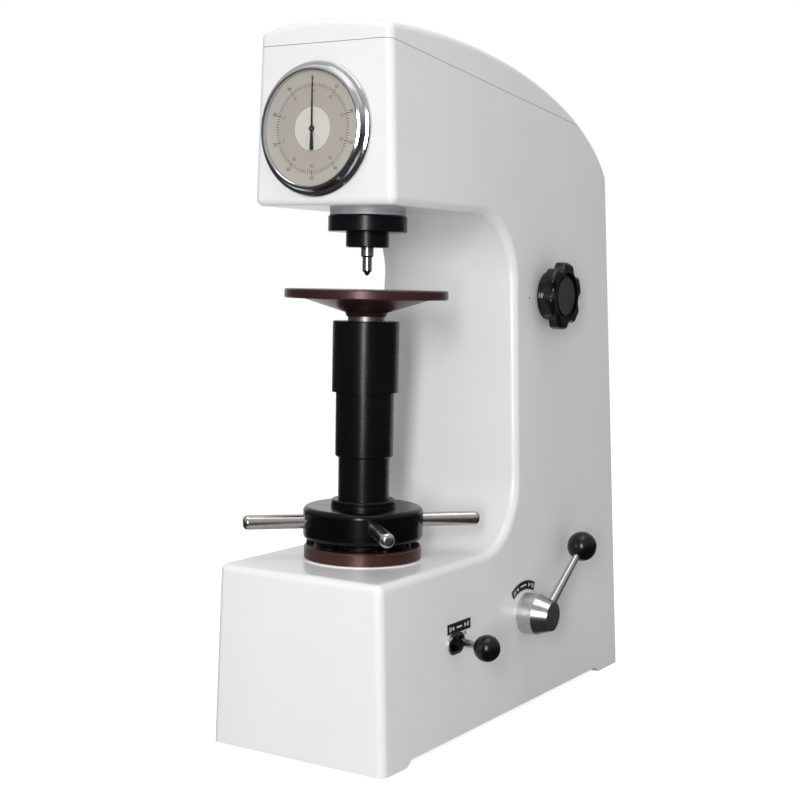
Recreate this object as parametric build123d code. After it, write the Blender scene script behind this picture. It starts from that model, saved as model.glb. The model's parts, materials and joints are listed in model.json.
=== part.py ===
from build123d import *

import os
from math import atan, cos, degrees, pi, radians, sin, sqrt

# Lever-type bench hardness tester. Millimetres, +Z up. The Z axis is the test axis and Z = 0 is the bench plane.
# The dial faces -Y, the control knobs are on the +X side, and each function in SUBPARTS makes one sub-part.

# Clearances
RUN_FIT = 0.06  # radial clearance of a shaft in its bearing
SCREW_FIT = 0.05  # radial clearance of a small screw in its hole
SLIDE_GAP = 0.3  # between curved faces that pass each other
SEAT_GAP = 0.1  # between faces that push each other
CUT = 1.0  # how far a cutter runs past the face that it cuts
FAR = 10.0  # the same for cutters as large as the frame

# Frame casting: outside
HALF_WIDTH = 91.0  # half the width at the bench
DRAFT = 0.039  # each side leans in by this much per mm of height
BASE_FRONT = -100.0
HEAD_FRONT = -71.0
COLUMN_FRONT = 139.0
REAR_FOOT = 371.0  # rear face at the bench
REAR_SLOPE = 0.045
BASE_TOP = 162.0
HEAD_UNDERSIDE = 474.0
THROAT_LOW_R = 65.0
THROAT_TOP_R = 60.0
CORNER_R = 7.0
# Roof: a quarter ellipse in side view, crowned across its width
ROOF_CENTRE_Z = HEAD_UNDERSIDE + 19.0
ROOF_RISE = 131.0
ROOF_OVERHANG = 9.2  # the ellipse ends this far behind the rear face
CROWN_RISE = 7.5
CROWN_R = 286.0
COVER_FRONT_DROP = 15.0  # joint to the top cover, below the ellipse's top, at the front face
SEAM_SLOPE = 0.107
SEAM_GAP = 0.5
# Frame casting: walls
WALL = 10.0
BASE_ROOF_T = 14.0
COLUMN_WALL_T = 10.0
HEAD_FLOOR_T = 14.0
HEAD_FLOOR = HEAD_UNDERSIDE + HEAD_FLOOR_T
# Foot bars and the shelf for the dashpot
FOOT_HEIGHT = 5.5
FOOT_SLOPE = 1.6
FRONT_FOOT_DEPTH = 36.0
REAR_FOOT_DEPTH = 49.0
SHELF_T = 7.5
SHELF_HALF = 42.0
# Top cover
COVER_T = 3.0
COVER_LIP_T = 2.0
COVER_LIP_H = 6.0
COVER_RIM_H = 4.0
# Rear cover
REAR_OPEN_HALF = 52.0
REAR_OPEN_BOTTOM = 52.0
REAR_OPEN_TOP = 458.0
REAR_COVER_SIDE = 10.0  # overlap of the cover at each side of the opening
REAR_COVER_END = 18.0  # overlap above and below
REAR_COVER_T = 1.5
REAR_COVER_CORNER_R = 8.0
REAR_SCREW_R = 2.5
REAR_SCREW_HEAD_R = 4.0
REAR_SCREW_HEAD_H = 2.2
REAR_SCREW_SIDE = 5.0  # from the cover's edge
REAR_SCREW_END = 10.0

# Spindle collar and guard under the head
BUSH_R = 22.0
BUSH_RISE = 8.0
COLLAR_R = 33.6
COLLAR_H = 5.2
COLLAR_GROOVES = (1.3, 3.1)
GROOVE_W = 0.7
GROOVE_T = 0.8
GUARD_R = 35.1
GUARD_H = 14.8
GUARD_EDGE_R = 1.0
GUARD_TOP_EDGE = 1.6
GUARD_BOTTOM = HEAD_UNDERSIDE - COLLAR_H - GUARD_H
# Spindle and indenter
SPINDLE_R = 12.5
SPINDLE_FLANGE_R = 20.0
SPINDLE_FLANGE_T = 4.0
SPINDLE_FLANGE_TOP = HEAD_FLOOR + 16.0
SPINDLE_TOP = SPINDLE_FLANGE_TOP + 4.0
NOSE_R = 19.25
NOSE_H = 14.4
NOSE_EDGE = 1.0
NOSE_RECESS = 2.0
NOSE_LIFT_ROOM = 1.2
NOSE_TOP = GUARD_BOTTOM + NOSE_RECESS - NOSE_LIFT_ROOM
NOSE_BOTTOM = NOSE_TOP - NOSE_H
NOSE_FLOOR_T = 6.0
NOSE_SCREW_R = 2.5
NOSE_SCREW_Z = NOSE_BOTTOM + 6.5
NOSE_SCREW_SUNK = 0.8
NOSE_SCREW_ANGLES = (52.0, -70.0)
HOLDER_R = 5.65
HOLDER_NECK_R = 4.25
HOLDER_END_R = 3.45
HOLDER_SHANK_R = 3.15
HOLDER_SHANK_L = 28.0
HOLDER_STEP_Z = NOSE_BOTTOM - 8.7
HOLDER_END_Z = NOSE_BOTTOM - 21.5
TIP_L = 3.4
TIP_Z = HOLDER_END_Z - TIP_L
TIP_CONE_R = 1.6
TIP_MOUNT_R = 3.0
TIP_ANGLE = 120.0

# Anvil
SPECIMEN_ROOM = 12.2  # from the anvil to the indenter's tip
ANVIL_TOP = TIP_Z - SPECIMEN_ROOM
ANVIL_R = 73.0
ANVIL_RIM = 8.2
ANVIL_EDGE = 1.0
ANVIL_CONE_R = 57.0
ANVIL_NECK_R = 19.2
ANVIL_NECK_Z = ANVIL_TOP - 20.2
ANVIL_FOOT_R = 17.7
ANVIL_FOOT_Z = ANVIL_NECK_Z - 3.6
ANVIL_SHANK_R = 9.0
ANVIL_SHANK_L = 28.0
ANVIL_BORE_SPARE = 2.0
# Handwheel, its flange and bearing
PAD_R = 56.0
PAD_H = 1.0
FLANGE_R = 53.1
FLANGE_H = 11.0
FLANGE_EDGE = 1.5
FLANGE_BOTTOM = BASE_TOP + PAD_H
FLANGE_TOP = FLANGE_BOTTOM + FLANGE_H
FLANGE_SCREW_R = 3.9
FLANGE_SCREW_CIRCLE = 47.6
FLANGE_SCREWS = 6
FLANGE_SCREW_TURN = 27.4
FLANGE_SCREW_HEAD = 3.0  # the heads stand this high above the flange
FLANGE_SCREW_EDGE = 0.5
FLANGE_SCREW_GRIP = 8.0  # depth of the screws in the base
FLANGE_SCREW_SPARE = 2.0
HUB_GAP = 1.0
HUB_NECK_R = 42.6
HUB_NECK_BOTTOM = FLANGE_TOP + HUB_GAP
HUB_RIM_BOTTOM = FLANGE_TOP + 6.6
HUB_STEP = 2.5
HUB_R = 54.3
HUB_TOP = HUB_RIM_BOTTOM + 28.6
HUB_EDGE_R = 5.0
ROD_R = 6.5
ROD_REACH = 108.7
ROD_END_R = 4.4
ROD_Z = HUB_TOP - 13.5
ROD_ANGLE = 45.0
ROD_SEAT = 12.0
RODS = 4
BEARING_IN = 27.0
BEARING_OUT = 40.0
BEARING_H = 10.0
BEARING_RACE_T = 2.4
BEARING_BOTTOM = FLANGE_TOP - 5.5
BEARING_BALLS = 10
BALL_SPARE = 0.01
# Elevating screw and its guide in the base
SCREW_R = 16.5
SCREW_BOTTOM = BASE_TOP - 14.0
SCREW_EDGE = 2.0
WELL_R = 42.0
GUIDE_R = 24.0
GUIDE_BOTTOM = BASE_TOP - 34.0
KEY_WIDTH = 6.0
KEY_DEPTH = 3.0
KEYWAY_TOP = ANVIL_FOOT_Z - 27.5
# Dust sleeves
SLEEVE_T = 1.5
SLEEVE_CAP_T = 2.0
INNER_SLEEVE_T = 1.3
BEAD_H = 3.0
LIP_H = 2.5
LIP_EDGE = 1.5
UPPER_SLEEVE_R = 29.8
UPPER_SLEEVE_TOP = ANVIL_FOOT_Z - 4.0
UPPER_SLEEVE_BOTTOM = UPPER_SLEEVE_TOP - 63.2
MIDDLE_SLEEVE_R = 26.2
MIDDLE_SLEEVE_TOP = UPPER_SLEEVE_BOTTOM + 11.7
MIDDLE_SLEEVE_BOTTOM = MIDDLE_SLEEVE_TOP - 70.2
LOWER_SLEEVE_R = 23.1
LOWER_SLEEVE_TOP = MIDDLE_SLEEVE_BOTTOM + 12.2
SLEEVE_COLLAR_R = 29.3
SLEEVE_COLLAR_TOP = HUB_TOP + 6.3
SLEEVE_SEAT_T = 1.5
COLLAR_STEP = 0.4
COLLAR_NICK = 1.0

# Dial gauge
DIAL_X = -6.0
DIAL_Z = HEAD_UNDERSIDE + 63.5
CASE_R = 50.0
CASE_T = 4.0
CASE_RIM = 2.0
CASE_FLANGE_T = 2.0
CASE_BACK_T = 2.0
CASE_BACK_Y = HEAD_FRONT + WALL + 3.0
MOVEMENT_R = 24.0
MOVEMENT_T = 2.0
MOVEMENT_BACK_Y = CASE_BACK_Y + 18.0
BEZEL_R = 56.5
BEZEL_LIP_R = 48.0
BEZEL_HEIGHT = 11.1
DIAL_HEIGHT = 6.0  # dial plane in front of the casting
DIAL_T = 1.0
DIAL_CENTRE_R = 18.4
DIAL_POST_R = 1.5
DIAL_POST_X = 12.0
CRYSTAL_FROM = 7.8
CRYSTAL_T = 2.0
HAND_LENGTH = 43.5
HAND_HEIGHT = 6.8
HAND_T = 0.5
HAND_BOSS_R = 2.6
HAND_WIDTHS = (0.6, 1.8, 3.8, 2.4)  # at the tip, the axis, the tail's shoulder and its end
TAIL_LENGTH = 18.0
TAIL_TAPER = 1.5
COUNTER_DROP = 11.0  # counter axis below the dial axis
COUNTER_Z = DIAL_Z - COUNTER_DROP
COUNTER_HAND_LENGTH = 5.5
COUNTER_HAND_TAIL = 2.5
COUNTER_HAND_WIDTHS = (0.5, 1.2)
COUNTER_HAND_T = 0.3
COUNTER_BOSS_R = 1.5
COUNTER_SPIGOT_R = 0.6
PINION_R = 1.0
RACK_PINION_R = 1.6
COUNTER_WHEEL_T = 1.5
RACK_R = 2.0
RACK_X = DIAL_X + RACK_PINION_R + RACK_R + SEAT_GAP
RACK_Y = CASE_BACK_Y + 8.0
RACK_TOP = DIAL_Z + 8.0

# Load lever
FULCRUM_Y = -14.0
LEVER_ARM = 280.0  # from the fulcrum to the hanger
HANGER_Y = FULCRUM_Y + LEVER_ARM
LEVER_END = 10.0
LEVER_TOP = SPINDLE_TOP + 26.0
LEVER_HALF = 11.0
LEVER_DEPTH_FRONT = 18.0
LEVER_DEPTH_MIDDLE = 30.0
LEVER_DEPTH_REAR = 16.0
LEVER_MIDDLE_Y = 80.0
KNIFE_H = 6.0
KNIFE_HALF = 3.0
KNIFE_Z = LEVER_TOP + KNIFE_H
KNIFE_GAP = 0.12
CONTACT_HALF = 2.0
CONTACT_WIDTH = 16.0
FULCRUM_HALF = 8.0
FULCRUM_LEG = 8.0
FULCRUM_ROOM = 13.0
FULCRUM_BRIDGE_T = 12.0
NOTCH_HALF = 4.0
POISE_Y = 80.0
POISE_HALF = 15.0
POISE_WIDTH = 40.0
POISE_ABOVE = 6.0
POISE_BELOW = 6.0
POISE_SPARE = 0.2
# Indicator lever
INDICATOR_X = -17.0
INDICATOR_HALF = 3.0
INDICATOR_PIVOT_Y = 12.5
INDICATOR_PIVOT_Z = SPINDLE_FLANGE_TOP + 4.2
INDICATOR_LOW = SPINDLE_FLANGE_TOP + 1.4
INDICATOR_TOP = SPINDLE_FLANGE_TOP + 7.0
INDICATOR_PIN_R = 2.0
INDICATOR_END = 4.0
INDICATOR_FOOT_HALF = 1.0
RACK_FOOT_TOP = SPINDLE_FLANGE_TOP + 5.5
RACK_FOOT_HALF = 5.0
BRACKET_T = 6.5
BRACKET_GAP = 0.5
BRACKET_POST_FROM = 5.0
BRACKET_POST_TO = 17.0
BRACKET_ARM_DROP = 6.2

# Load selector
SELECTOR_Y = COLUMN_FRONT + 66.0
SELECTOR_Z = 400.0
SELECTOR_SHAFT_R = 6.0
SELECTOR_BOSS_R = 12.0
SELECTOR_BOSS_L = 9.0
CAM_PLACES = ((22.0, 90.0), (-30.0, 210.0))  # x and the angle of each cam's high side
SELECTOR_CAM_R = 16.0
SELECTOR_CAM_T = 8.0
SELECTOR_CAM_THROW = 5.0
KNOB_GAP = 1.3
DRUM_R = 23.4
DRUM_END = 10.7  # front of the drum from the casting
KNOB_REACH = 22.7  # front face of the knob from the casting
KNOB_R = 32.6
LOBES = 6
LOBE_TURN = -10.0
LOBE_EDGE_R = 5.0
FLUTE_R = 9.0
FLUTE_DEPTH = 5.0
KNOB_EDGE_R = 4.0
KNOB_DISH = 1.1  # the knob's middle lies this far behind its rim
KNOB_RING_R = 22.4
KNOB_RING_IN = 19.0
KNOB_RING_DEPTH = 3.0
KNOB_CAP_R = 18.2
KNOB_CAP_DEPTH = 1.5
KNOB_CAP_T = 1.3
KNOB_SHAFT_END = 6.0  # the shaft ends this far behind the knob's front
# Weights, hanger and dashpot
LIFT = 12.0  # travel of the hanger
WEIGHT_R = 54.0
WEIGHT_HEIGHTS = (30.0, 22.0, 22.0)
WEIGHT_SPACE = 3.0
WEIGHT_ROOM = 3.0  # between the lifted weights and the selector's cams
WEIGHT_STACK = sum(WEIGHT_HEIGHTS) + WEIGHT_SPACE * (len(WEIGHT_HEIGHTS) - 1)
WEIGHT_TOP = SELECTOR_Z - SELECTOR_CAM_R - SELECTOR_CAM_THROW - WEIGHT_ROOM - LIFT
WEIGHT_BOTTOM = WEIGHT_TOP - WEIGHT_STACK
HANGER_R = 6.0
HANGER_COLLAR_R = 16.0
HANGER_COLLAR_H = 5.0
SPACER_R = 9.0
STIRRUP_IN = 13.5
STIRRUP_OUT = 18.0
STIRRUP_HALF = 8.0
STIRRUP_BOTTOM = LEVER_TOP - 36.0
STIRRUP_FLOOR_T = 8.0
STIRRUP_TOP_T = 9.0
PISTON_R = 27.0
PISTON_H = 8.0
PISTON_RISE = 35.0  # piston above the floor of the pot
DASHPOT_R = 34.0
DASHPOT_BOTTOM = FOOT_HEIGHT + SHELF_T
DASHPOT_FLOOR_T = 6.0
DASHPOT_LID_T = 8.0
DASHPOT_H = 115.0
DASHPOT_TOP = DASHPOT_BOTTOM + DASHPOT_H
DASHPOT_LUG_Y = 30.0
DASHPOT_LUG = (12.0, 6.0, 8.0)
PISTON_Z = DASHPOT_BOTTOM + DASHPOT_FLOOR_T + PISTON_RISE + PISTON_H

# Unloading lever
UNLOAD_Y = COLUMN_FRONT + 16.0
UNLOAD_Z = 94.0
UNLOAD_SHAFT_R = 10.0
UNLOAD_BOSS_R = 18.0
UNLOAD_BOSS_L = 13.0
UNLOAD_COLLAR_R = 19.5
UNLOAD_COLLAR_L = 15.1
UNLOAD_COLLAR_GAP = 0.2
UNLOAD_HUB_END = 29.9
UNLOAD_HUB_R = 14.1
UNLOAD_HUB_FACE_T = 4.0
UNLOAD_ARM = 97.4
UNLOAD_ARM_X = 20.5  # plane of the arm from the casting
UNLOAD_ANGLE = 35.0
UNLOAD_ROD_FOOT_R = 4.5
UNLOAD_ROD_TIP_R = 3.3
UNLOAD_ROD_START = 1.0
UNLOAD_BALL_R = 14.8
BALL_SEAT = 8.0  # the rod ends this far from the ball's middle
# Lifting cam and rod
CAM_START_R = 18.5
CAM_SWEEP = 85.0
CAM_BEFORE = 10.0
CAM_HALF = 6.0
CAM_BACK_R = 15.0
CAM_BACK_FROM = -52.0
CAM_BACK_TO = 132.0
CAM_STEPS = 8
CAM_ROOM = 0.5
LIFT_ROD_R = 4.0
LIFT_TIP_R = 3.0
LIFT_TIP_Z = UNLOAD_Z + CAM_START_R + CAM_ROOM
LIFT_ARM_H = 10.0
LIFT_ARM_HALF = 6.0
LIFT_EYE_R = 14.0
LIFT_GUIDE_H = 14.0
LIFT_GUIDE_HALF = 10.0
LIFT_GUIDE_BEHIND = 11.0
LIFT_GUIDE_Z = BASE_TOP - BASE_ROOF_T + THROAT_LOW_R + COLUMN_WALL_T + 9.0
# Loading lever
LOADING_Y = 34.0
LOADING_Z = 91.0
LOADING_INSET = 30.5  # pivot from the casting's side
LOADING_ANGLE = 11.9
LOADING_REACH = 64.0
LOADING_ROD_R = 3.5
LOADING_ROD_END = 6.0
LOADING_BALL_R = 12.0
LATCH_SHAFT_R = 4.0
LATCH_SHAFT_SEAT = 2.0
LATCH_LUG_DROPS = (-25.0, 17.0)  # lower face of each lug from the rod
LATCH_LUG_T = 6.0
LATCH_LUG_HALF = 9.0
PAWL_LENGTH = 24.0
PAWL_HALF = 3.5
PAWL_TOP = -8.0
PAWL_BOTTOM = -14.0
# Slot of the loading lever and its liner
SLOT_Y = LOADING_Y - 13.5
SLOT_LENGTH = 23.6
SLOT_HEIGHT = 14.5
SLOT_RIM = 2.4
SLOT_RIM_T = 1.6
SLOT_WALL = 3.0
SLEEVE_WALL = 0.9
SLOT_SPARE = 0.1
POCKET_DEPTH = 12.0
POCKET_BEFORE = 4.0
POCKET_BEHIND = 8.0
POCKET_HALF_HEIGHT = 12.0


def side_x(z):
    """X of the casting's right face at a height."""
    return HALF_WIDTH - DRAFT * z


def rear_y(z):
    """Y of the casting's rear face at a height."""
    return REAR_FOOT - REAR_SLOPE * z


def save(name, shape):
    """Writes one sub-part."""
    shape.label = name
    export_step(shape, f"parts/{name}.step")


def rod(radius, length):
    """Cylinder that starts at the origin and runs along Z."""
    return Cylinder(radius, length, align=(Align.CENTER, Align.CENTER, Align.MIN))


def disc(radius, z_from, z_to, x=0.0, y=0.0):
    """Upright cylinder between two heights."""
    return Pos(x, y, z_from) * rod(radius, z_to - z_from)


def ring(outer, inner, z_from, z_to, x=0.0, y=0.0):
    """Upright tube between two heights."""
    return disc(outer, z_from, z_to, x, y) - disc(inner, z_from - CUT, z_to + CUT, x, y)


def bar_x(radius, x_from, x_to, y, z):
    """Cylinder along X."""
    axis = Plane(origin=(x_from, y, z), x_dir=(0, 1, 0), z_dir=(1, 0, 0))
    return axis * rod(radius, x_to - x_from)


def bar_y(radius, y_from, y_to, x, z):
    """Cylinder along Y."""
    axis = Plane(origin=(x, y_from, z), x_dir=(1, 0, 0), z_dir=(0, 1, 0))
    return axis * rod(radius, y_to - y_from)


def block(x_from, x_to, y_from, y_to, z_from, z_to):
    """Box between two corners."""
    size = Box(x_to - x_from, y_to - y_from, z_to - z_from, align=(Align.MIN,) * 3)
    return Pos(x_from, y_from, z_from) * size


def filled(points):
    """Flat face inside a closed row of points."""
    return make_face(Polyline(*points, close=True))


def turned(points):
    """Solid of revolution about Z from (radius, height) points."""
    return revolve(filled([(r, 0, z) for r, z in points]), Axis.Z)


def side_prism(face, half):
    """A side outline, drawn in Y and Z, carried across the width."""
    upright = Plane(origin=(-half, 0, 0), x_dir=(0, 1, 0), z_dir=(1, 0, 0))
    return extrude(upright * face, 2 * half)


# Form of the frame casting


def roof_top():
    """A height above the whole frame."""
    return ROOF_CENTRE_Z + ROOF_RISE + 2 * CROWN_RISE


def throat_profile(floor_inset, column_inset, head_inset, front_inset, rear_inset):
    """Side outline of the C-shaped frame up to above the roof, in the YZ plane."""
    low_z = BASE_TOP - floor_inset
    top_z = HEAD_UNDERSIDE + head_inset
    column_y = COLUMN_FRONT + column_inset
    low_r = THROAT_LOW_R + column_inset
    top_r = THROAT_TOP_R + column_inset
    front_base = BASE_FRONT + front_inset
    front_head = HEAD_FRONT + front_inset
    height = roof_top()
    lines = [
        Line((front_base, 0), (front_base, low_z)),
        Line((front_base, low_z), (column_y - low_r, low_z)),
        RadiusArc((column_y - low_r, low_z), (column_y, low_z + low_r), -low_r),
        Line((column_y, low_z + low_r), (column_y, top_z - top_r)),
        RadiusArc((column_y, top_z - top_r), (column_y - top_r, top_z), -top_r),
        Line((column_y - top_r, top_z), (front_head, top_z)),
        Line((front_head, top_z), (front_head, height)),
        Line((front_head, height), (rear_y(height) - rear_inset, height)),
        Line((rear_y(height) - rear_inset, height), (rear_y(0) - rear_inset, 0)),
        Line((rear_y(0) - rear_inset, 0), (front_base, 0)),
    ]
    return make_face(Curve() + lines)


def draft_wedge(inset):
    """Body between the two leaning sides."""
    height = roof_top() + FAR
    low = HALF_WIDTH - inset
    top = low - DRAFT * height
    face = filled([(-low, 0), (low, 0), (top, height), (-top, height)])
    depth = REAR_FOOT - BASE_FRONT + 2 * FAR
    upright = Plane(origin=(0, REAR_FOOT + FAR, 0), x_dir=(1, 0, 0), z_dir=(0, -1, 0))
    return extrude(upright * face, depth)


def roof_body(inset):
    """Crowned barrel, stretched to the roof's ellipse, with the straight body below it."""
    half = HALF_WIDTH + FAR
    top = ROOF_RISE + CROWN_RISE - inset
    edge = top - CROWN_R + sqrt(CROWN_R**2 - half**2)
    crown = ThreePointArc((-half, 0, edge), (0, 0, top), (half, 0, edge))
    sides = Polyline((-half, 0, edge), (-half, 0, 0), (half, 0, 0), (half, 0, edge))
    barrel = revolve(make_face(Curve() + [crown, sides]), Axis.X)
    reach = rear_y(ROOF_CENTRE_Z) + ROOF_OVERHANG
    stretch = (reach - inset) / (ROOF_RISE - inset)
    barrel = Pos(0, 0, ROOF_CENTRE_Z) * scale(barrel, by=(1, stretch, 1))
    return barrel + block(-half, half, BASE_FRONT - FAR, REAR_FOOT + FAR, -CUT, ROOF_CENTRE_Z)


def frame_form(floor_inset, column_inset, head_inset, wall_inset):
    """The whole C-shaped form, or its hollow when inset."""
    outline = throat_profile(floor_inset, column_inset, head_inset, wall_inset, wall_inset)
    return side_prism(outline, HALF_WIDTH + FAR) & draft_wedge(wall_inset) & roof_body(wall_inset)


def even_form(inset):
    """The form with the same inset all round."""
    return frame_form(0, 0, 0, inset)


def above_seam(gap):
    """Everything above the joint between the casting and its top cover."""
    lean = degrees(atan(-SEAM_SLOPE))
    front_z = ROOF_CENTRE_Z + ROOF_RISE - COVER_FRONT_DROP
    slab = Box(4 * HALF_WIDTH, 4 * REAR_FOOT, 2 * ROOF_RISE, align=(Align.CENTER, Align.CENTER, Align.MIN))
    return Pos(0, HEAD_FRONT, front_z + gap) * Rot(lean, 0, 0) * slab


def outer_form():
    """Outside of casting and top cover, with its rounded edges."""
    form = even_form(0)
    return fillet([e for e in form.edges() if is_rounded(e)], CORNER_R)


def is_rounded(edge):
    """Every edge of the outside, apart from the bench edge and the smooth joints of the throat."""
    box = edge.bounding_box()
    at_bench = box.max.Z < CUT
    across = box.size.X > HALF_WIDTH / 2
    on_front = box.max.Y < HEAD_FRONT + CUT
    on_rear = box.min.Y > COLUMN_FRONT + FAR
    return not at_bench and (not across or on_front or on_rear)


def hollow_form():
    """Space inside the casting and its top cover."""
    return frame_form(BASE_ROOF_T, COLUMN_WALL_T, HEAD_FLOOR_T, WALL)


# Casting and covers


def body_casting():
    """Hollow cast C-frame: base, column and head in one piece."""
    body = outer_form() - above_seam(-SEAM_GAP / 2) - hollow_form() - foot_relief()
    body += disc(PAD_R, BASE_TOP - CUT, FLANGE_BOTTOM)
    body += disc(WELL_R, 0, BASE_TOP - CUT)
    body += shaft_bosses() + lever_lugs() + dashpot_shelf()
    body -= disc(GUIDE_R, -CUT, FLANGE_BOTTOM + CUT)
    body -= disc(BUSH_R, HEAD_UNDERSIDE - CUT, HEAD_FLOOR + CUT)
    body -= bar_y(CASE_R + SLIDE_GAP, HEAD_FRONT - CUT, CASE_BACK_Y + SLIDE_GAP, DIAL_X, DIAL_Z)
    body -= rear_opening()
    body -= shaft_bores()
    body -= slot_pocket()
    for x, y in flange_screw_places():
        body -= disc(FLANGE_SCREW_R, screw_hole_bottom(), FLANGE_BOTTOM + CUT, x, y)
    return body


def foot_relief():
    """Gap under the middle of the base that leaves a foot bar at the front and one at the rear."""
    front = BASE_FRONT + FRONT_FOOT_DEPTH
    rear = REAR_FOOT - REAR_FOOT_DEPTH
    slope = FOOT_HEIGHT * FOOT_SLOPE
    outline = [(front, -CUT), (front + slope, FOOT_HEIGHT), (rear - slope, FOOT_HEIGHT), (rear, -CUT)]
    return side_prism(filled(outline), HALF_WIDTH + FAR)


def rear_opening():
    """Straight hole through the rear wall."""
    front = rear_y(REAR_OPEN_TOP) - 2 * WALL
    return block(-REAR_OPEN_HALF, REAR_OPEN_HALF, front, REAR_FOOT + FAR, REAR_OPEN_BOTTOM, REAR_OPEN_TOP)


def wall_pair(radius, length, y, z):
    """A boss on each side wall, facing inwards."""
    wall = side_x(z) - WALL + CUT
    right = bar_x(radius, wall - length, wall, y, z)
    return right + bar_x(radius, -wall, length - wall, y, z)


def shaft_bosses():
    """Bosses in the side walls for the two cross shafts."""
    unload = wall_pair(UNLOAD_BOSS_R, UNLOAD_BOSS_L, UNLOAD_Y, UNLOAD_Z)
    return unload + wall_pair(SELECTOR_BOSS_R, SELECTOR_BOSS_L, SELECTOR_Y, SELECTOR_Z)


def lever_lugs():
    """Guide lug of the lifting rod, and the two lugs of the loading lever."""
    column = COLUMN_FRONT + COLUMN_WALL_T - CUT
    half = LIFT_GUIDE_HALF
    lugs = block(-half, half, column, UNLOAD_Y + LIFT_GUIDE_BEHIND, LIFT_GUIDE_Z, LIFT_GUIDE_Z + LIFT_GUIDE_H)
    wall = side_x(LOADING_Z) - WALL + CUT
    front = LOADING_Y - LATCH_LUG_HALF
    rear = LOADING_Y + LATCH_LUG_HALF
    for drop in LATCH_LUG_DROPS:
        low = LOADING_Z + drop
        lugs += block(loading_x() - LATCH_LUG_HALF, wall, front, rear, low, low + LATCH_LUG_T)
    return lugs


def dashpot_shelf():
    """Shelf across the base that carries the dashpot."""
    half = side_x(0) - WALL + CUT
    return block(-half, half, HANGER_Y - SHELF_HALF, HANGER_Y + SHELF_HALF, FOOT_HEIGHT, DASHPOT_BOTTOM)


def shaft_bores():
    """Bores for the two cross shafts, the lifting rod and the loading lever's shaft."""
    start = WALL / 2
    bores = bar_x(UNLOAD_SHAFT_R + RUN_FIT, start - side_x(UNLOAD_Z), HALF_WIDTH + CUT, UNLOAD_Y, UNLOAD_Z)
    selector = SELECTOR_SHAFT_R + RUN_FIT
    bores += bar_x(selector, start - side_x(SELECTOR_Z), HALF_WIDTH, SELECTOR_Y, SELECTOR_Z)
    bores += disc(LIFT_ROD_R + RUN_FIT, LIFT_GUIDE_Z - CUT, LIFT_GUIDE_Z + LIFT_GUIDE_H + CUT, 0, UNLOAD_Y)
    low, high = latch_shaft_ends()
    return bores + disc(LATCH_SHAFT_R + RUN_FIT, low, high, loading_x(), LOADING_Y)


def slot_pocket():
    """Slot of the loading lever, with the thinned wall behind it."""
    wide = SLOT_LENGTH + 2 * (SLEEVE_WALL + SLOT_SPARE)
    high = SLOT_HEIGHT + 2 * (SLEEVE_WALL + SLOT_SPARE)
    thin = side_x(LOADING_Z) - SLOT_WALL
    pocket = slot_prism(wide, high, thin - POCKET_DEPTH, HALF_WIDTH + CUT)
    front = SLOT_Y - SLOT_LENGTH / 2 - POCKET_BEFORE
    half = POCKET_HALF_HEIGHT
    rear = LOADING_Y + POCKET_BEHIND
    return pocket + block(thin - POCKET_DEPTH, thin, front, rear, LOADING_Z - half, LOADING_Z + half)


def slot_prism(length, height, x_from, x_to):
    """Round-ended slot of the loading lever, along X."""
    upright = Plane(origin=(x_from, SLOT_Y, LOADING_Z), x_dir=(0, 1, 0), z_dir=(1, 0, 0))
    return extrude(upright * SlotOverall(length, height), x_to - x_from)


def top_cover():
    """Crowned cover over the head, open underneath, with a lip that drops inside the casting."""
    above = above_seam(SEAM_GAP / 2)
    shell = (outer_form() & above) - even_form(COVER_T)
    lip_out = WALL + SLIDE_GAP
    lip_in = lip_out + COVER_LIP_T
    rim = (even_form(COVER_T - SEAM_GAP) - even_form(lip_in)) & above - above_seam(COVER_RIM_H)
    lip = (even_form(lip_out) - even_form(lip_in)) & above_seam(-COVER_LIP_H) - above_seam(COVER_RIM_H / 2)
    return shell + rim + lip


def rear_cover():
    """Sheet panel that closes the back of the column."""
    width = 2 * (REAR_OPEN_HALF + REAR_COVER_SIDE)
    stretch = sqrt(1 + REAR_SLOPE**2)
    low, high = rear_cover_ends()
    sheet = RectangleRounded(width, (high - low) * stretch, REAR_COVER_CORNER_R)
    middle = (low + high) / 2
    for x, z in rear_screw_places():
        sheet -= Pos(x, (z - middle) * stretch) * Circle(REAR_SCREW_R + SCREW_FIT)
    return rear_plane(middle) * extrude(sheet, REAR_COVER_T)


def rear_cover_ends():
    """Lower and upper height of the rear cover."""
    return REAR_OPEN_BOTTOM - REAR_COVER_END, REAR_OPEN_TOP + REAR_COVER_END


def rear_plane(z):
    """Plane on the leaning rear face at a height, looking backwards."""
    normal = Vector(0, 1, REAR_SLOPE).normalized()
    return Plane(origin=(0, rear_y(z), z), x_dir=(-1, 0, 0), z_dir=normal)


def rear_screw_places():
    """Middle of each rear cover screw, in X and Z."""
    low, high = rear_cover_ends()
    rows = (low + REAR_SCREW_END, (low + high) / 2, high - REAR_SCREW_END)
    reach = REAR_OPEN_HALF + REAR_COVER_SIDE - REAR_SCREW_SIDE
    return [(side * reach, z) for z in rows for side in (-1, 1)]


def rear_cover_screws():
    """Six pan-head screws round the rear cover."""
    screws = []
    for x, z in rear_screw_places():
        head = Pos(0, 0, REAR_COVER_T) * rod(REAR_SCREW_HEAD_R, REAR_SCREW_HEAD_H)
        head = fillet(head.edges().sort_by(Axis.Z)[-1], REAR_SCREW_HEAD_H / 2)
        screws.append(rear_plane(z) * Pos(-x, 0, 0) * (rod(REAR_SCREW_R, REAR_COVER_T) + head))
    return Compound(children=screws)


# Spindle and indenter


def spindle_bush():
    """Long guide of the spindle, held in the floor of the head."""
    return ring(BUSH_R, SPINDLE_R + RUN_FIT, HEAD_UNDERSIDE - COLLAR_H, HEAD_FLOOR + BUSH_RISE)


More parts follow.
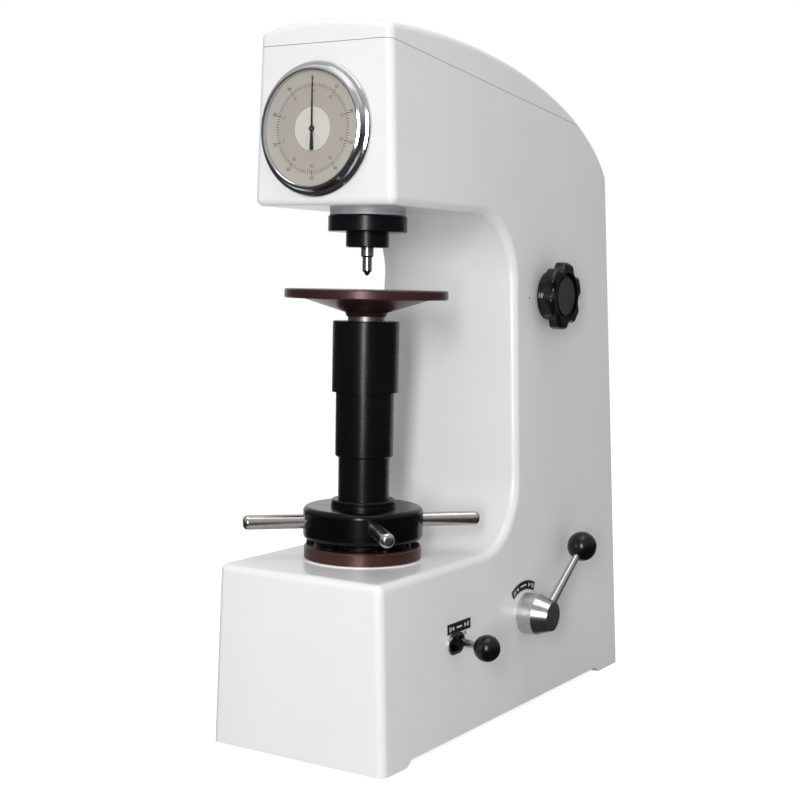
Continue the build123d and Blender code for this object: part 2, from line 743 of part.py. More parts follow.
def spindle_collar():
    """Bright grooved collar under the head."""
    low = HEAD_UNDERSIDE - COLLAR_H
    collar = ring(COLLAR_R, BUSH_R, low, HEAD_UNDERSIDE)
    for rise in COLLAR_GROOVES:
        collar -= ring(COLLAR_R + CUT, COLLAR_R - GROOVE_T, low + rise, low + rise + GROOVE_W)
    return collar


def spindle_guard():
    """Black guard ring below the collar, with a recess for the spindle nose."""
    top = HEAD_UNDERSIDE - COLLAR_H
    guard = disc(GUARD_R, GUARD_BOTTOM, top)
    guard = fillet(guard.edges().group_by(Axis.Z)[0], GUARD_EDGE_R)
    guard = chamfer(guard.edges().group_by(Axis.Z)[-1], GUARD_TOP_EDGE)
    guard -= disc(SPINDLE_R + SLIDE_GAP, GUARD_BOTTOM - CUT, top + CUT)
    return guard - disc(NOSE_R + SLIDE_GAP, GUARD_BOTTOM - CUT, GUARD_BOTTOM + NOSE_RECESS)


def spindle():
    """Ground spindle with the flange that moves the indicator lever."""
    body = disc(SPINDLE_R, NOSE_BOTTOM + NOSE_FLOOR_T, SPINDLE_TOP)
    body += disc(SPINDLE_FLANGE_R, SPINDLE_FLANGE_TOP - SPINDLE_FLANGE_T, SPINDLE_FLANGE_TOP)
    body -= disc(HOLDER_SHANK_R, NOSE_BOTTOM, NOSE_BOTTOM + HOLDER_SHANK_L + CUT)
    return body - nose_screw_forms(SCREW_FIT)


def spindle_nose():
    """Black clamping nose at the end of the spindle."""
    nose = disc(NOSE_R, NOSE_BOTTOM, NOSE_TOP)
    nose = chamfer(nose.edges().group_by(Axis.Z)[0], NOSE_EDGE)
    nose -= disc(SPINDLE_R, NOSE_BOTTOM + NOSE_FLOOR_T, NOSE_TOP + CUT)
    nose -= disc(HOLDER_SHANK_R, NOSE_BOTTOM - CUT, NOSE_TOP)
    return nose - nose_screw_forms(SCREW_FIT)


def nose_screw_forms(spare):
    """Radial set screws of the nose, grown all round by a spare."""
    outer = NOSE_R - NOSE_SCREW_SUNK + spare
    screw = bar_y(NOSE_SCREW_R + spare, -outer, -HOLDER_SHANK_R - CUT, 0, NOSE_SCREW_Z)
    return Compound(children=[Rot(0, 0, angle) * screw for angle in NOSE_SCREW_ANGLES])


def nose_set_screws():
    """Set screws that clamp the indenter."""
    return nose_screw_forms(0)


def indenter_holder():
    """Steel holder of the indenter."""
    slope = HOLDER_R - HOLDER_NECK_R
    return turned(
        [
            (0, HOLDER_END_Z),
            (HOLDER_END_R, HOLDER_END_Z),
            (HOLDER_NECK_R, HOLDER_END_Z + slope),
            (HOLDER_NECK_R, HOLDER_STEP_Z),
            (HOLDER_R, HOLDER_STEP_Z + slope),
            (HOLDER_R, NOSE_BOTTOM),
            (HOLDER_SHANK_R, NOSE_BOTTOM),
            (HOLDER_SHANK_R, NOSE_BOTTOM + HOLDER_SHANK_L),
            (0, NOSE_BOTTOM + HOLDER_SHANK_L),
        ]
    )


def indenter_tip():
    """Diamond cone in its mount."""
    half_angle = radians(TIP_ANGLE / 2)
    cone_h = TIP_CONE_R * cos(half_angle) / sin(half_angle)
    return turned([(0, TIP_Z), (TIP_CONE_R, TIP_Z + cone_h), (TIP_MOUNT_R, HOLDER_END_Z), (0, HOLDER_END_Z)])


# Anvil, elevating screw and sleeves


def anvil():
    """Large flat anvil with a shank that drops into the screw."""
    rim_bottom = ANVIL_TOP - ANVIL_RIM
    shank_bottom = ANVIL_FOOT_Z - ANVIL_SHANK_L
    return turned(
        [
            (0, ANVIL_TOP),
            (ANVIL_R - ANVIL_EDGE, ANVIL_TOP),
            (ANVIL_R, ANVIL_TOP - ANVIL_EDGE),
            (ANVIL_R, rim_bottom + ANVIL_EDGE),
            (ANVIL_R - ANVIL_EDGE, rim_bottom),
            (ANVIL_CONE_R, rim_bottom),
            (ANVIL_NECK_R, ANVIL_NECK_Z),
            (ANVIL_FOOT_R, ANVIL_FOOT_Z),
            (ANVIL_SHANK_R, ANVIL_FOOT_Z),
            (ANVIL_SHANK_R, shank_bottom),
            (0, shank_bottom),
        ]
    )


def elevating_screw():
    """Elevating screw with its keyway, bored at the top for the anvil."""
    screw = disc(SCREW_R, SCREW_BOTTOM, ANVIL_FOOT_Z)
    screw = chamfer(screw.edges().group_by(Axis.Z)[0], SCREW_EDGE)
    screw -= disc(ANVIL_SHANK_R, ANVIL_FOOT_Z - ANVIL_SHANK_L - ANVIL_BORE_SPARE, ANVIL_FOOT_Z + CUT)
    half = KEY_WIDTH / 2 + RUN_FIT
    floor = SCREW_R - KEY_DEPTH - RUN_FIT
    return screw - block(-half, half, floor, SCREW_R + CUT, SCREW_BOTTOM - CUT, KEYWAY_TOP)


def upper_sleeve():
    """Outer dust sleeve, closed at the top round the screw."""
    inner = UPPER_SLEEVE_R - SLEEVE_T
    edge = SLEEVE_T / 2
    return turned(
        [
            (SCREW_R, UPPER_SLEEVE_TOP),
            (UPPER_SLEEVE_R - edge, UPPER_SLEEVE_TOP),
            (UPPER_SLEEVE_R, UPPER_SLEEVE_TOP - edge),
            (UPPER_SLEEVE_R, UPPER_SLEEVE_BOTTOM),
            (inner, UPPER_SLEEVE_BOTTOM),
            (inner, UPPER_SLEEVE_TOP - SLEEVE_CAP_T),
            (SCREW_R, UPPER_SLEEVE_TOP - SLEEVE_CAP_T),
        ]
    )


def middle_sleeve():
    """Middle dust sleeve, guided by a bead at the top and a lip at the bottom."""
    inner = MIDDLE_SLEEVE_R - INNER_SLEEVE_T
    bead = UPPER_SLEEVE_R - SLEEVE_T - SLIDE_GAP
    lip = LOWER_SLEEVE_R + SLIDE_GAP
    return turned(
        [
            (inner, MIDDLE_SLEEVE_TOP),
            (bead, MIDDLE_SLEEVE_TOP),
            (bead, MIDDLE_SLEEVE_TOP - BEAD_H),
            (MIDDLE_SLEEVE_R, MIDDLE_SLEEVE_TOP - BEAD_H),
            (MIDDLE_SLEEVE_R, MIDDLE_SLEEVE_BOTTOM + LIP_EDGE),
            (MIDDLE_SLEEVE_R - LIP_EDGE, MIDDLE_SLEEVE_BOTTOM),
            (lip, MIDDLE_SLEEVE_BOTTOM),
            (lip, MIDDLE_SLEEVE_BOTTOM + LIP_H),
            (inner, MIDDLE_SLEEVE_BOTTOM + LIP_H),
        ]
    )


def lower_sleeve():
    """Inner dust sleeve, seated in the collar on the handwheel."""
    inner = LOWER_SLEEVE_R - INNER_SLEEVE_T
    bead = MIDDLE_SLEEVE_R - INNER_SLEEVE_T - SLIDE_GAP
    bottom = HUB_TOP + SLEEVE_SEAT_T
    return turned(
        [
            (inner, LOWER_SLEEVE_TOP),
            (bead, LOWER_SLEEVE_TOP),
            (bead, LOWER_SLEEVE_TOP - BEAD_H),
            (LOWER_SLEEVE_R, LOWER_SLEEVE_TOP - BEAD_H),
            (LOWER_SLEEVE_R, bottom),
            (inner, bottom),
        ]
    )


def sleeve_collar():
    """Grooved collar that holds the lower sleeve on the handwheel."""
    middle = (HUB_TOP + SLEEVE_COLLAR_TOP) / 2
    bore = SCREW_R + SLEEVE_SEAT_T
    step_r = SLEEVE_COLLAR_R - COLLAR_STEP
    seat = HUB_TOP + SLEEVE_SEAT_T
    return turned(
        [
            (bore, HUB_TOP),
            (SLEEVE_COLLAR_R, HUB_TOP),
            (SLEEVE_COLLAR_R, middle - COLLAR_STEP),
            (SLEEVE_COLLAR_R - COLLAR_NICK, middle),
            (step_r, middle + COLLAR_STEP),
            (step_r, SLEEVE_COLLAR_TOP - COLLAR_NICK),
            (step_r - COLLAR_NICK, SLEEVE_COLLAR_TOP),
            (LOWER_SLEEVE_R, SLEEVE_COLLAR_TOP),
            (LOWER_SLEEVE_R, seat),
            (bore, seat),
        ]
    )


# Handwheel


def handwheel_hub():
    """Hub of the four-spoke handwheel, with the elevating nut in its bore."""
    hub = turned(
        [
            (SCREW_R + RUN_FIT, HUB_TOP),
            (HUB_R, HUB_TOP),
            (HUB_R, HUB_RIM_BOTTOM),
            (HUB_NECK_R, HUB_RIM_BOTTOM - HUB_STEP),
            (HUB_NECK_R, HUB_NECK_BOTTOM),
            (SCREW_R + RUN_FIT, HUB_NECK_BOTTOM),
        ]
    )
    rims = [e for e in hub.edges().filter_by(GeomType.CIRCLE) if abs(e.radius - HUB_R) < RUN_FIT]
    hub = fillet(rims, HUB_EDGE_R)
    hub -= bearing_room(HUB_NECK_BOTTOM - CUT, BEARING_BOTTOM + BEARING_H)
    for turn in range(RODS):
        hub -= spoke_place(turn) * bar_x(ROD_R, HUB_R - ROD_SEAT, HUB_R + CUT, 0, ROD_Z)
    return hub


def bearing_room(z_from, z_to):
    """Ring-shaped recess for the thrust bearing."""
    return ring(BEARING_OUT + SLIDE_GAP, BEARING_IN - SLIDE_GAP, z_from, z_to)


def spoke_place(turn):
    """Turn of one handwheel rod about the screw's axis."""
    return Rot(0, 0, ROD_ANGLE + 360 / RODS * turn)


def handwheel_rods():
    """Four bright rods with rounded ends."""
    spoke = bar_x(ROD_R, HUB_R - ROD_SEAT, ROD_REACH, 0, ROD_Z)
    spoke = fillet(spoke.edges().group_by(Axis.X)[-1], ROD_END_R)
    return Compound(children=[spoke_place(turn) * spoke for turn in range(RODS)])


def thrust_bearing():
    """Two washers and the balls between them under the handwheel."""
    top = BEARING_BOTTOM + BEARING_H
    pieces = [ring(BEARING_OUT, BEARING_IN, BEARING_BOTTOM, BEARING_BOTTOM + BEARING_RACE_T)]
    pieces.append(ring(BEARING_OUT, BEARING_IN, top - BEARING_RACE_T, top))
    ball = Sphere(BEARING_H / 2 - BEARING_RACE_T - BALL_SPARE)
    middle = (BEARING_IN + BEARING_OUT) / 2
    for i in range(BEARING_BALLS):
        angle = 2 * pi * i / BEARING_BALLS
        pieces.append(Pos(middle * cos(angle), middle * sin(angle), BEARING_BOTTOM + BEARING_H / 2) * ball)
    return Compound(children=pieces)


def base_flange():
    """Seat of the handwheel, screwed to the base."""
    flange = turned(
        [
            (GUIDE_R, FLANGE_BOTTOM),
            (FLANGE_R, FLANGE_BOTTOM),
            (FLANGE_R, FLANGE_TOP - FLANGE_EDGE),
            (FLANGE_R - FLANGE_EDGE, FLANGE_TOP),
            (GUIDE_R, FLANGE_TOP),
        ]
    )
    flange -= bearing_room(BEARING_BOTTOM, FLANGE_TOP + CUT)
    for x, y in flange_screw_places():
        flange -= disc(FLANGE_SCREW_R, FLANGE_BOTTOM - CUT, FLANGE_TOP + CUT, x, y)
    return flange


def flange_screw_places():
    """Middle of each flange screw, in X and Y."""
    angles = [radians(FLANGE_SCREW_TURN + 360 / FLANGE_SCREWS * i) for i in range(FLANGE_SCREWS)]
    return [(FLANGE_SCREW_CIRCLE * cos(a), FLANGE_SCREW_CIRCLE * sin(a)) for a in angles]


def screw_hole_bottom():
    """Bottom of the flange screws' holes in the base."""
    return BASE_TOP - FLANGE_SCREW_GRIP - FLANGE_SCREW_SPARE


def flange_screws():
    """Screws that hold the flange to the base."""
    low = BASE_TOP - FLANGE_SCREW_GRIP
    screws = []
    for x, y in flange_screw_places():
        screw = disc(FLANGE_SCREW_R, low, FLANGE_TOP + FLANGE_SCREW_HEAD, x, y)
        screws.append(chamfer(screw.edges().group_by(Axis.Z)[-1], FLANGE_SCREW_EDGE))
    return Compound(children=screws)


def screw_guide():
    """Guide bush in the base with the key that stops the screw from turning."""
    top = FLANGE_TOP - HUB_GAP
    guide = ring(GUIDE_R, SCREW_R + RUN_FIT, GUIDE_BOTTOM, top)
    half = KEY_WIDTH / 2
    return guide + block(-half, half, SCREW_R - KEY_DEPTH, SCREW_R + CUT, GUIDE_BOTTOM, top)


# Dial gauge


def front_y(height):
    """Y of a plane that stands in front of the head's face."""
    return HEAD_FRONT - height


def front_plane(z):
    """Plane on the head's face below or at the dial axis, looking forwards."""
    return Plane(origin=(DIAL_X, HEAD_FRONT, z), x_dir=(1, 0, 0), z_dir=(0, -1, 0))


def dial_bar(radius, y_from, y_to, z=DIAL_Z):
    """Cylinder on the dial axis, or on another axis straight below it."""
    return bar_y(radius, y_from, y_to, DIAL_X, z)


def dial_ring(outer, inner, y_from, y_to):
    """Tube on the dial axis."""
    return dial_bar(outer, y_from, y_to) - dial_bar(inner, y_from - CUT, y_to + CUT)


def gauge_case():
    """Gauge case in the front wall, with the movement housing behind it."""
    back = CASE_BACK_Y - CASE_BACK_T
    front = front_y(CASE_FLANGE_T)
    case = dial_ring(CASE_R + CASE_RIM, CASE_R - CASE_T, front, HEAD_FRONT)
    case += dial_ring(CASE_R, CASE_R - CASE_T, front, CASE_BACK_Y)
    case += dial_bar(CASE_R, back, CASE_BACK_Y)
    case += dial_bar(MOVEMENT_R, back, MOVEMENT_BACK_Y)
    case -= dial_bar(MOVEMENT_R - MOVEMENT_T, CASE_BACK_Y, MOVEMENT_BACK_Y - MOVEMENT_T)
    case -= dial_bar(PINION_R + RUN_FIT, back - CUT, MOVEMENT_BACK_Y + CUT)
    case -= dial_bar(RACK_PINION_R + RUN_FIT, back - CUT, MOVEMENT_BACK_Y + CUT, COUNTER_Z)
    return case - disc(RACK_R + RUN_FIT, DIAL_Z - MOVEMENT_R - CUT, COUNTER_Z, RACK_X, RACK_Y)


def bezel():
    """Chrome bezel that turns the dial."""
    bore = CASE_R + CASE_RIM + SLIDE_GAP
    seat = CASE_FLANGE_T + SLIDE_GAP
    profile = [
        (bore, SEAM_GAP),
        (BEZEL_R, SEAM_GAP),
        (BEZEL_R, 0.23 * BEZEL_HEIGHT),
        (BEZEL_R - 0.9, 0.38 * BEZEL_HEIGHT),
        (BEZEL_R - 2.6, 0.47 * BEZEL_HEIGHT),
        (BEZEL_R - 3.4, 0.49 * BEZEL_HEIGHT),
        (BEZEL_R - 4.2, 0.67 * BEZEL_HEIGHT),
        (BEZEL_LIP_R + 2.9, 0.92 * BEZEL_HEIGHT),
        (BEZEL_LIP_R + 1.4, BEZEL_HEIGHT),
        (BEZEL_LIP_R + 0.5, BEZEL_HEIGHT),
        (BEZEL_LIP_R, BEZEL_HEIGHT - 0.5),
        (BEZEL_LIP_R, seat),
        (bore, seat),
    ]
    return front_plane(DIAL_Z) * turned(profile)


def crystal():
    """Flat glass of the dial."""
    return dial_bar(BEZEL_LIP_R, front_y(CRYSTAL_FROM + CRYSTAL_T), front_y(CRYSTAL_FROM))


def dial_face():
    """Dial ring that turns with the bezel."""
    return dial_ring(BEZEL_LIP_R, DIAL_CENTRE_R + SLIDE_GAP, front_y(DIAL_HEIGHT), front_y(DIAL_HEIGHT - DIAL_T))


def dial_centre():
    """Fixed middle disc of the dial on two posts."""
    front = front_y(DIAL_HEIGHT)
    back = front_y(DIAL_HEIGHT - DIAL_T)
    centre = dial_bar(DIAL_CENTRE_R, front, back)
    for side in (-1, 1):
        centre += bar_y(DIAL_POST_R, back, CASE_BACK_Y - CASE_BACK_T, DIAL_X + side * DIAL_POST_X, DIAL_Z)
    centre -= dial_bar(PINION_R + SLIDE_GAP, front - CUT, HEAD_FRONT)
    return centre - dial_bar(COUNTER_SPIGOT_R + SLIDE_GAP, front - CUT, HEAD_FRONT, COUNTER_Z)


def long_pointer():
    """Thin long hand with its weighted tail."""
    tip, axis, shoulder, end = [width / 2 for width in HAND_WIDTHS]
    right = [(tip, HAND_LENGTH), (axis, 0), (shoulder, TAIL_TAPER - TAIL_LENGTH), (end, -TAIL_LENGTH)]
    left = [(-x, y) for x, y in reversed(right)]
    hand = extrude(filled(right + left) + Circle(HAND_BOSS_R), HAND_T)
    hand -= Pos(0, 0, -CUT) * rod(PINION_R, HAND_T + 2 * CUT)
    return front_plane(DIAL_Z) * Pos(0, 0, HAND_HEIGHT) * hand


def centre_pinion():
    """Arbor and pinion of the long hand."""
    return dial_bar(PINION_R, front_y(HAND_HEIGHT + HAND_T), MOVEMENT_BACK_Y)


def small_pointer():
    """Short hand that counts the turns of the long one."""
    tip, tail = [width / 2 for width in COUNTER_HAND_WIDTHS]
    low = -COUNTER_HAND_TAIL
    outline = [(-tail, low), (tail, low), (tip, COUNTER_HAND_LENGTH), (-tip, COUNTER_HAND_LENGTH)]
    hand = extrude(filled(outline) + Circle(COUNTER_BOSS_R), COUNTER_HAND_T)
    hand -= Pos(0, 0, -CUT) * rod(COUNTER_SPIGOT_R, COUNTER_HAND_T + 2 * CUT)
    return front_plane(COUNTER_Z) * Pos(0, 0, DIAL_HEIGHT + 2 * SEAT_GAP) * hand


def counter_gear():
    """Gear, rack pinion and arbor of the counter."""
    back = CASE_BACK_Y - CASE_BACK_T
    gear = dial_bar(COUNTER_SPIGOT_R, front_y(DIAL_HEIGHT + 2 * SEAT_GAP + COUNTER_HAND_T), CASE_BACK_Y, COUNTER_Z)
    gear += dial_bar(RACK_PINION_R, back, MOVEMENT_BACK_Y, COUNTER_Z)
    wheel_y = CASE_BACK_Y + CASE_BACK_T
    return gear + dial_bar(COUNTER_DROP - PINION_R - SEAT_GAP, wheel_y, wheel_y + COUNTER_WHEEL_T, COUNTER_Z)


def gauge_rack():
    """Vertical rack rod pushed up by the indicator lever."""
    return disc(RACK_R, RACK_FOOT_TOP + SEAT_GAP, RACK_TOP, RACK_X, RACK_Y)


# Load lever and indicator lever


def lever_ends():
    """Front and rear end of the load lever."""
    return FULCRUM_Y - LEVER_END, HANGER_Y + LEVER_END


def lever_underside(y):
    """Height of the load lever's underside between the indenter and its deepest point."""
    share = (y - FULCRUM_Y) / (LEVER_MIDDLE_Y - FULCRUM_Y)
    return LEVER_TOP - LEVER_DEPTH_FRONT - share * (LEVER_DEPTH_MIDDLE - LEVER_DEPTH_FRONT)


def main_lever():
    """Load lever from its fulcrum over the spindle to the weight hanger."""
    front, rear = lever_ends()
    outline = [
        (front, LEVER_TOP),
        (front, LEVER_TOP - LEVER_DEPTH_FRONT),
        (FULCRUM_Y, LEVER_TOP - LEVER_DEPTH_FRONT),
        (LEVER_MIDDLE_Y, LEVER_TOP - LEVER_DEPTH_MIDDLE),
        (rear, LEVER_TOP - LEVER_DEPTH_REAR),
        (rear, LEVER_TOP),
    ]
    return side_prism(filled(outline), LEVER_HALF)


def lever_knives():
    """Knife edges of the load lever: fulcrum, spindle contact and hanger."""
    knives = []
    for y in (FULCRUM_Y, HANGER_Y):
        shoulder = KNIFE_Z - KNIFE_HALF
        edge = [(y - KNIFE_HALF, LEVER_TOP), (y + KNIFE_HALF, LEVER_TOP)]
        edge += [(y + KNIFE_HALF, shoulder), (y, KNIFE_Z), (y - KNIFE_HALF, shoulder)]
        knives.append(side_prism(filled(edge), LEVER_HALF))
    half = CONTACT_HALF
    shoulder = SPINDLE_TOP + half
    contact = [(-half, lever_underside(-half)), (half, lever_underside(half))]
    contact += [(half, shoulder), (0, SPINDLE_TOP + SEAT_GAP), (-half, shoulder)]
    knives.append(side_prism(filled(contact), CONTACT_WIDTH / 2))
    return Compound(children=knives)


def lever_fulcrum():
    """Bridge over the front of the load lever, on the floor of the head."""
    inner = LEVER_HALF + FULCRUM_ROOM
    outer = inner + FULCRUM_LEG
    front = FULCRUM_Y - FULCRUM_HALF
    rear = FULCRUM_Y + FULCRUM_HALF
    edge_z = KNIFE_Z + KNIFE_GAP
    bridge = block(-outer, outer, front, rear, HEAD_FLOOR, KNIFE_Z + FULCRUM_BRIDGE_T)
    bridge -= block(-inner, inner, front - CUT, rear + CUT, HEAD_FLOOR - CUT, edge_z)
    bearing = block(-inner, inner, front, rear, KNIFE_Z - CUT, edge_z + CUT)
    notch = [(FULCRUM_Y - NOTCH_HALF, KNIFE_Z - CUT), (FULCRUM_Y, edge_z), (FULCRUM_Y + NOTCH_HALF, KNIFE_Z - CUT)]
    return bridge + bearing - side_prism(filled(notch), inner)


def poise_weight():
    """Sliding weight that sets the preliminary load."""
    front = POISE_Y - POISE_HALF
    rear = POISE_Y + POISE_HALF
    half = POISE_WIDTH / 2
    floor = LEVER_TOP - LEVER_DEPTH_MIDDLE - POISE_SPARE
    weight = block(-half, half, front, rear, floor - POISE_BELOW, LEVER_TOP + POISE_ABOVE)
    return weight - block(-LEVER_HALF, LEVER_HALF, front - CUT, rear + CUT, floor, LEVER_TOP)


def indicator_sides():
    """Left and right side of the indicator lever."""
    return INDICATOR_X - INDICATOR_HALF, INDICATOR_X + INDICATOR_HALF


def indicator_lever():
    """Lever that multiplies the spindle's travel by five for the gauge."""
    left, right = indicator_sides()
    front = RACK_Y - RACK_FOOT_HALF
    foot = INDICATOR_FOOT_HALF
    lever = block(left, right, front, INDICATOR_PIVOT_Y + INDICATOR_END, INDICATOR_LOW, INDICATOR_TOP)
    lever += block(left, right, -foot, foot, SPINDLE_FLANGE_TOP + SEAT_GAP, INDICATOR_LOW)
    rear = RACK_Y + RACK_FOOT_HALF
    lever += block(right, RACK_X + RACK_R + CUT, front, rear, INDICATOR_LOW, RACK_FOOT_TOP)
    pin = INDICATOR_PIN_R + RUN_FIT
    return lever - bar_x(pin, left - CUT, right + CUT, INDICATOR_PIVOT_Y, INDICATOR_PIVOT_Z)


def indicator_bracket():
    """Post and pivot pin of the indicator lever."""
    left, right = indicator_sides()
    inner = left - BRACKET_GAP
    outer = inner - BRACKET_T
    front = INDICATOR_PIVOT_Y + BRACKET_POST_FROM
    rear = INDICATOR_PIVOT_Y + BRACKET_POST_TO
    top = INDICATOR_PIVOT_Z + BRACKET_POST_FROM
    post = block(outer, inner, front, rear, HEAD_FLOOR, top)
    arm_front = INDICATOR_PIVOT_Y - BRACKET_POST_FROM
    post += block(outer, inner, arm_front, rear, INDICATOR_PIVOT_Z - BRACKET_ARM_DROP, top)
    return post + bar_x(INDICATOR_PIN_R, inner - CUT, right + CUT, INDICATOR_PIVOT_Y, INDICATOR_PIVOT_Z)


# Weights and dashpot


def weight_levels():
    """Lower and upper height of each weight."""
    levels = []
    low = WEIGHT_BOTTOM
    for height in WEIGHT_HEIGHTS:
        levels.append((low, low + height))
        low += height + WEIGHT_SPACE
    return levels


def weights():
    """Weights on the hanger rod."""
    stack = [ring(WEIGHT_R, HANGER_R, low, high, 0, HANGER_Y) for low, high in weight_levels()]
    return Compound(children=stack)


def weight_hanger():
    """Stirrup round the lever's rear knife, with the hanger and piston rod below it."""
    front = HANGER_Y - STIRRUP_HALF
    rear = HANGER_Y + STIRRUP_HALF
    low = STIRRUP_BOTTOM - STIRRUP_FLOOR_T
    window_top = KNIFE_Z + KNIFE_GAP
    hanger = block(-STIRRUP_OUT, STIRRUP_OUT, front, rear, low, KNIFE_Z + STIRRUP_TOP_T)
    hanger -= block(-STIRRUP_IN, STIRRUP_IN, front - CUT, rear + CUT, STIRRUP_BOTTOM, window_top)
    hanger += disc(HANGER_R, PISTON_Z, low + CUT, 0, HANGER_Y)
    hanger += disc(HANGER_COLLAR_R, WEIGHT_BOTTOM - HANGER_COLLAR_H, WEIGHT_BOTTOM, 0, HANGER_Y)
    for low, high in weight_levels()[:-1]:
        hanger += disc(SPACER_R, high, high + WEIGHT_SPACE, 0, HANGER_Y)
    return hanger


def dashpot_piston():
    """Piston at the end of the hanger rod."""
    return disc(PISTON_R - SLIDE_GAP, PISTON_Z - PISTON_H, PISTON_Z, 0, HANGER_Y)


def dashpot_cylinder():
    """Oil dashpot on the shelf of the base, which slows the weights."""
    pot = disc(DASHPOT_R, DASHPOT_BOTTOM, DASHPOT_TOP, 0, HANGER_Y)
    pot -= disc(PISTON_R, DASHPOT_BOTTOM + DASHPOT_FLOOR_T, DASHPOT_TOP - DASHPOT_LID_T, 0, HANGER_Y)
    pot -= disc(HANGER_R + SLIDE_GAP, DASHPOT_TOP - DASHPOT_LID_T - CUT, DASHPOT_TOP + CUT, 0, HANGER_Y)
    half_x, half_y, height = DASHPOT_LUG
    for side in (-1, 1):
        y = HANGER_Y + side * DASHPOT_LUG_Y
        lug = block(-half_x, half_x, y - half_y, y + half_y, DASHPOT_BOTTOM, DASHPOT_BOTTOM + height)
        pot += lug - disc(PISTON_R, DASHPOT_BOTTOM + DASHPOT_FLOOR_T, DASHPOT_TOP, 0, HANGER_Y)
    return pot


# Load selector


def knob_frame():
    """Plane at the selector axis, looking outwards from the casting."""
    return Plane(origin=(side_x(SELECTOR_Z), SELECTOR_Y, SELECTOR_Z), x_dir=(0, 1, 0), z_dir=(1, 0, 0))


def lobed_face():
    """Outline of the knob: a circle with round flutes between its lobes."""
    face = Sketch() + Circle(KNOB_R)
    for i in range(LOBES):
        angle = radians(90 + LOBE_TURN + 360 / LOBES * (i + 0.5))
        centre = KNOB_R - FLUTE_DEPTH + FLUTE_R
        face -= Pos(centre * cos(angle), centre * sin(angle)) * Circle(FLUTE_R)
    return fillet(face.vertices(), LOBE_EDGE_R)


def cap_seat():
    """Height of the cap's seat from the casting."""
    return KNOB_REACH - KNOB_DISH - KNOB_CAP_DEPTH


def selector_knob():
    """Lobed knob with the numbered drum behind it."""
    drum = Pos(0, 0, KNOB_GAP) * rod(DRUM_R, DRUM_END - KNOB_GAP)
    grip = Pos(0, 0, DRUM_END) * extrude(lobed_face(), KNOB_REACH - DRUM_END)
    grip = fillet(grip.edges().group_by(Axis.Z)[-1], KNOB_EDGE_R)
    groove = rod(KNOB_RING_R, KNOB_RING_DEPTH + CUT) - rod(KNOB_RING_IN, KNOB_RING_DEPTH + CUT)
    knob = drum + grip - Pos(0, 0, KNOB_REACH - KNOB_RING_DEPTH) * groove
    knob -= Pos(0, 0, KNOB_REACH - KNOB_DISH) * rod(KNOB_RING_R, KNOB_DISH + CUT)
    knob -= Pos(0, 0, cap_seat()) * rod(KNOB_CAP_R, KNOB_REACH - cap_seat())
    return knob_frame() * (knob - rod(SELECTOR_SHAFT_R, KNOB_REACH - KNOB_SHAFT_END))


def selector_cap():
    """Matt disc set into the face of the knob."""
    return knob_frame() * Pos(0, 0, cap_seat()) * rod(KNOB_CAP_R, KNOB_CAP_T)


def selector_shaft():
    """Shaft of the load selector across the column."""
    side = side_x(SELECTOR_Z)
    start = WALL / 2 + CUT - side
    return bar_x(SELECTOR_SHAFT_R, start, side + KNOB_REACH - KNOB_SHAFT_END, SELECTOR_Y, SELECTOR_Z)


def selector_cams():
    """Two cams that take weights off the hanger."""
    cams = []
    for x, angle in CAM_PLACES:
        y = SELECTOR_Y + SELECTOR_CAM_THROW * cos(radians(angle))
        z = SELECTOR_Z + SELECTOR_CAM_THROW * sin(radians(angle))
        cam = bar_x(SELECTOR_CAM_R, x, x + SELECTOR_CAM_T, y, z)
        cams.append(cam - bar_x(SELECTOR_SHAFT_R, x - CUT, x + SELECTOR_CAM_T + CUT, SELECTOR_Y, SELECTOR_Z))
    return Compound(children=cams)


# Unloading lever


def unload_frame():
    """Plane at the unloading axis, looking outwards from the casting."""
    return Plane(origin=(side_x(UNLOAD_Z), UNLOAD_Y, UNLOAD_Z), x_dir=(0, 1, 0), z_dir=(1, 0, 0))


def wall_side():
    """Everything inside the leaning right face of the base."""
    height = COLUMN_FRONT
    face = filled([(0, 0), (side_x(0), 0), (side_x(height), height), (0, height)])
    upright = Plane(origin=(0, REAR_FOOT, 0), x_dir=(1, 0, 0), z_dir=(0, -1, 0))
    return extrude(upright * face, REAR_FOOT)


def unloading_collar():
    """Fixed collar on the wall round the unloading shaft."""
    length = UNLOAD_COLLAR_L - UNLOAD_COLLAR_GAP + CUT
    collar = rod(UNLOAD_COLLAR_R, length) - rod(UNLOAD_SHAFT_R + SLIDE_GAP, length)
    return unload_frame() * Pos(0, 0, -CUT) * collar - wall_side()


def unloading_hub():
    """Tapered hub of the unloading lever."""
    length = UNLOAD_HUB_END - UNLOAD_COLLAR_L
    taper = Cone(UNLOAD_COLLAR_R, UNLOAD_HUB_R, length, align=(Align.CENTER, Align.CENTER, Align.MIN))
    hub = Pos(0, 0, UNLOAD_COLLAR_L) * taper - rod(UNLOAD_SHAFT_R, UNLOAD_HUB_END - UNLOAD_HUB_FACE_T)
    return unload_frame() * hub - arm_form(UNLOAD_ARM)


def arm_form(reach):
    """Taper along the arm of the unloading lever, from the shaft outwards."""
    start = UNLOAD_SHAFT_R + UNLOAD_ROD_START
    share = (reach - start) / (UNLOAD_ARM - start)
    tip_r = UNLOAD_ROD_FOOT_R + share * (UNLOAD_ROD_TIP_R - UNLOAD_ROD_FOOT_R)
    taper = Cone(UNLOAD_ROD_FOOT_R, tip_r, reach - start, align=(Align.CENTER, Align.CENTER, Align.MIN))
    arm = Pos(0, start, 0) * Rot(-90, 0, 0) * taper
    return Pos(side_x(UNLOAD_Z) + UNLOAD_ARM_X, UNLOAD_Y, UNLOAD_Z) * Rot(UNLOAD_ANGLE, 0, 0) * arm


def unloading_rod():
    """Bright arm of the unloading lever."""
    return arm_form(UNLOAD_ARM - BALL_SEAT)


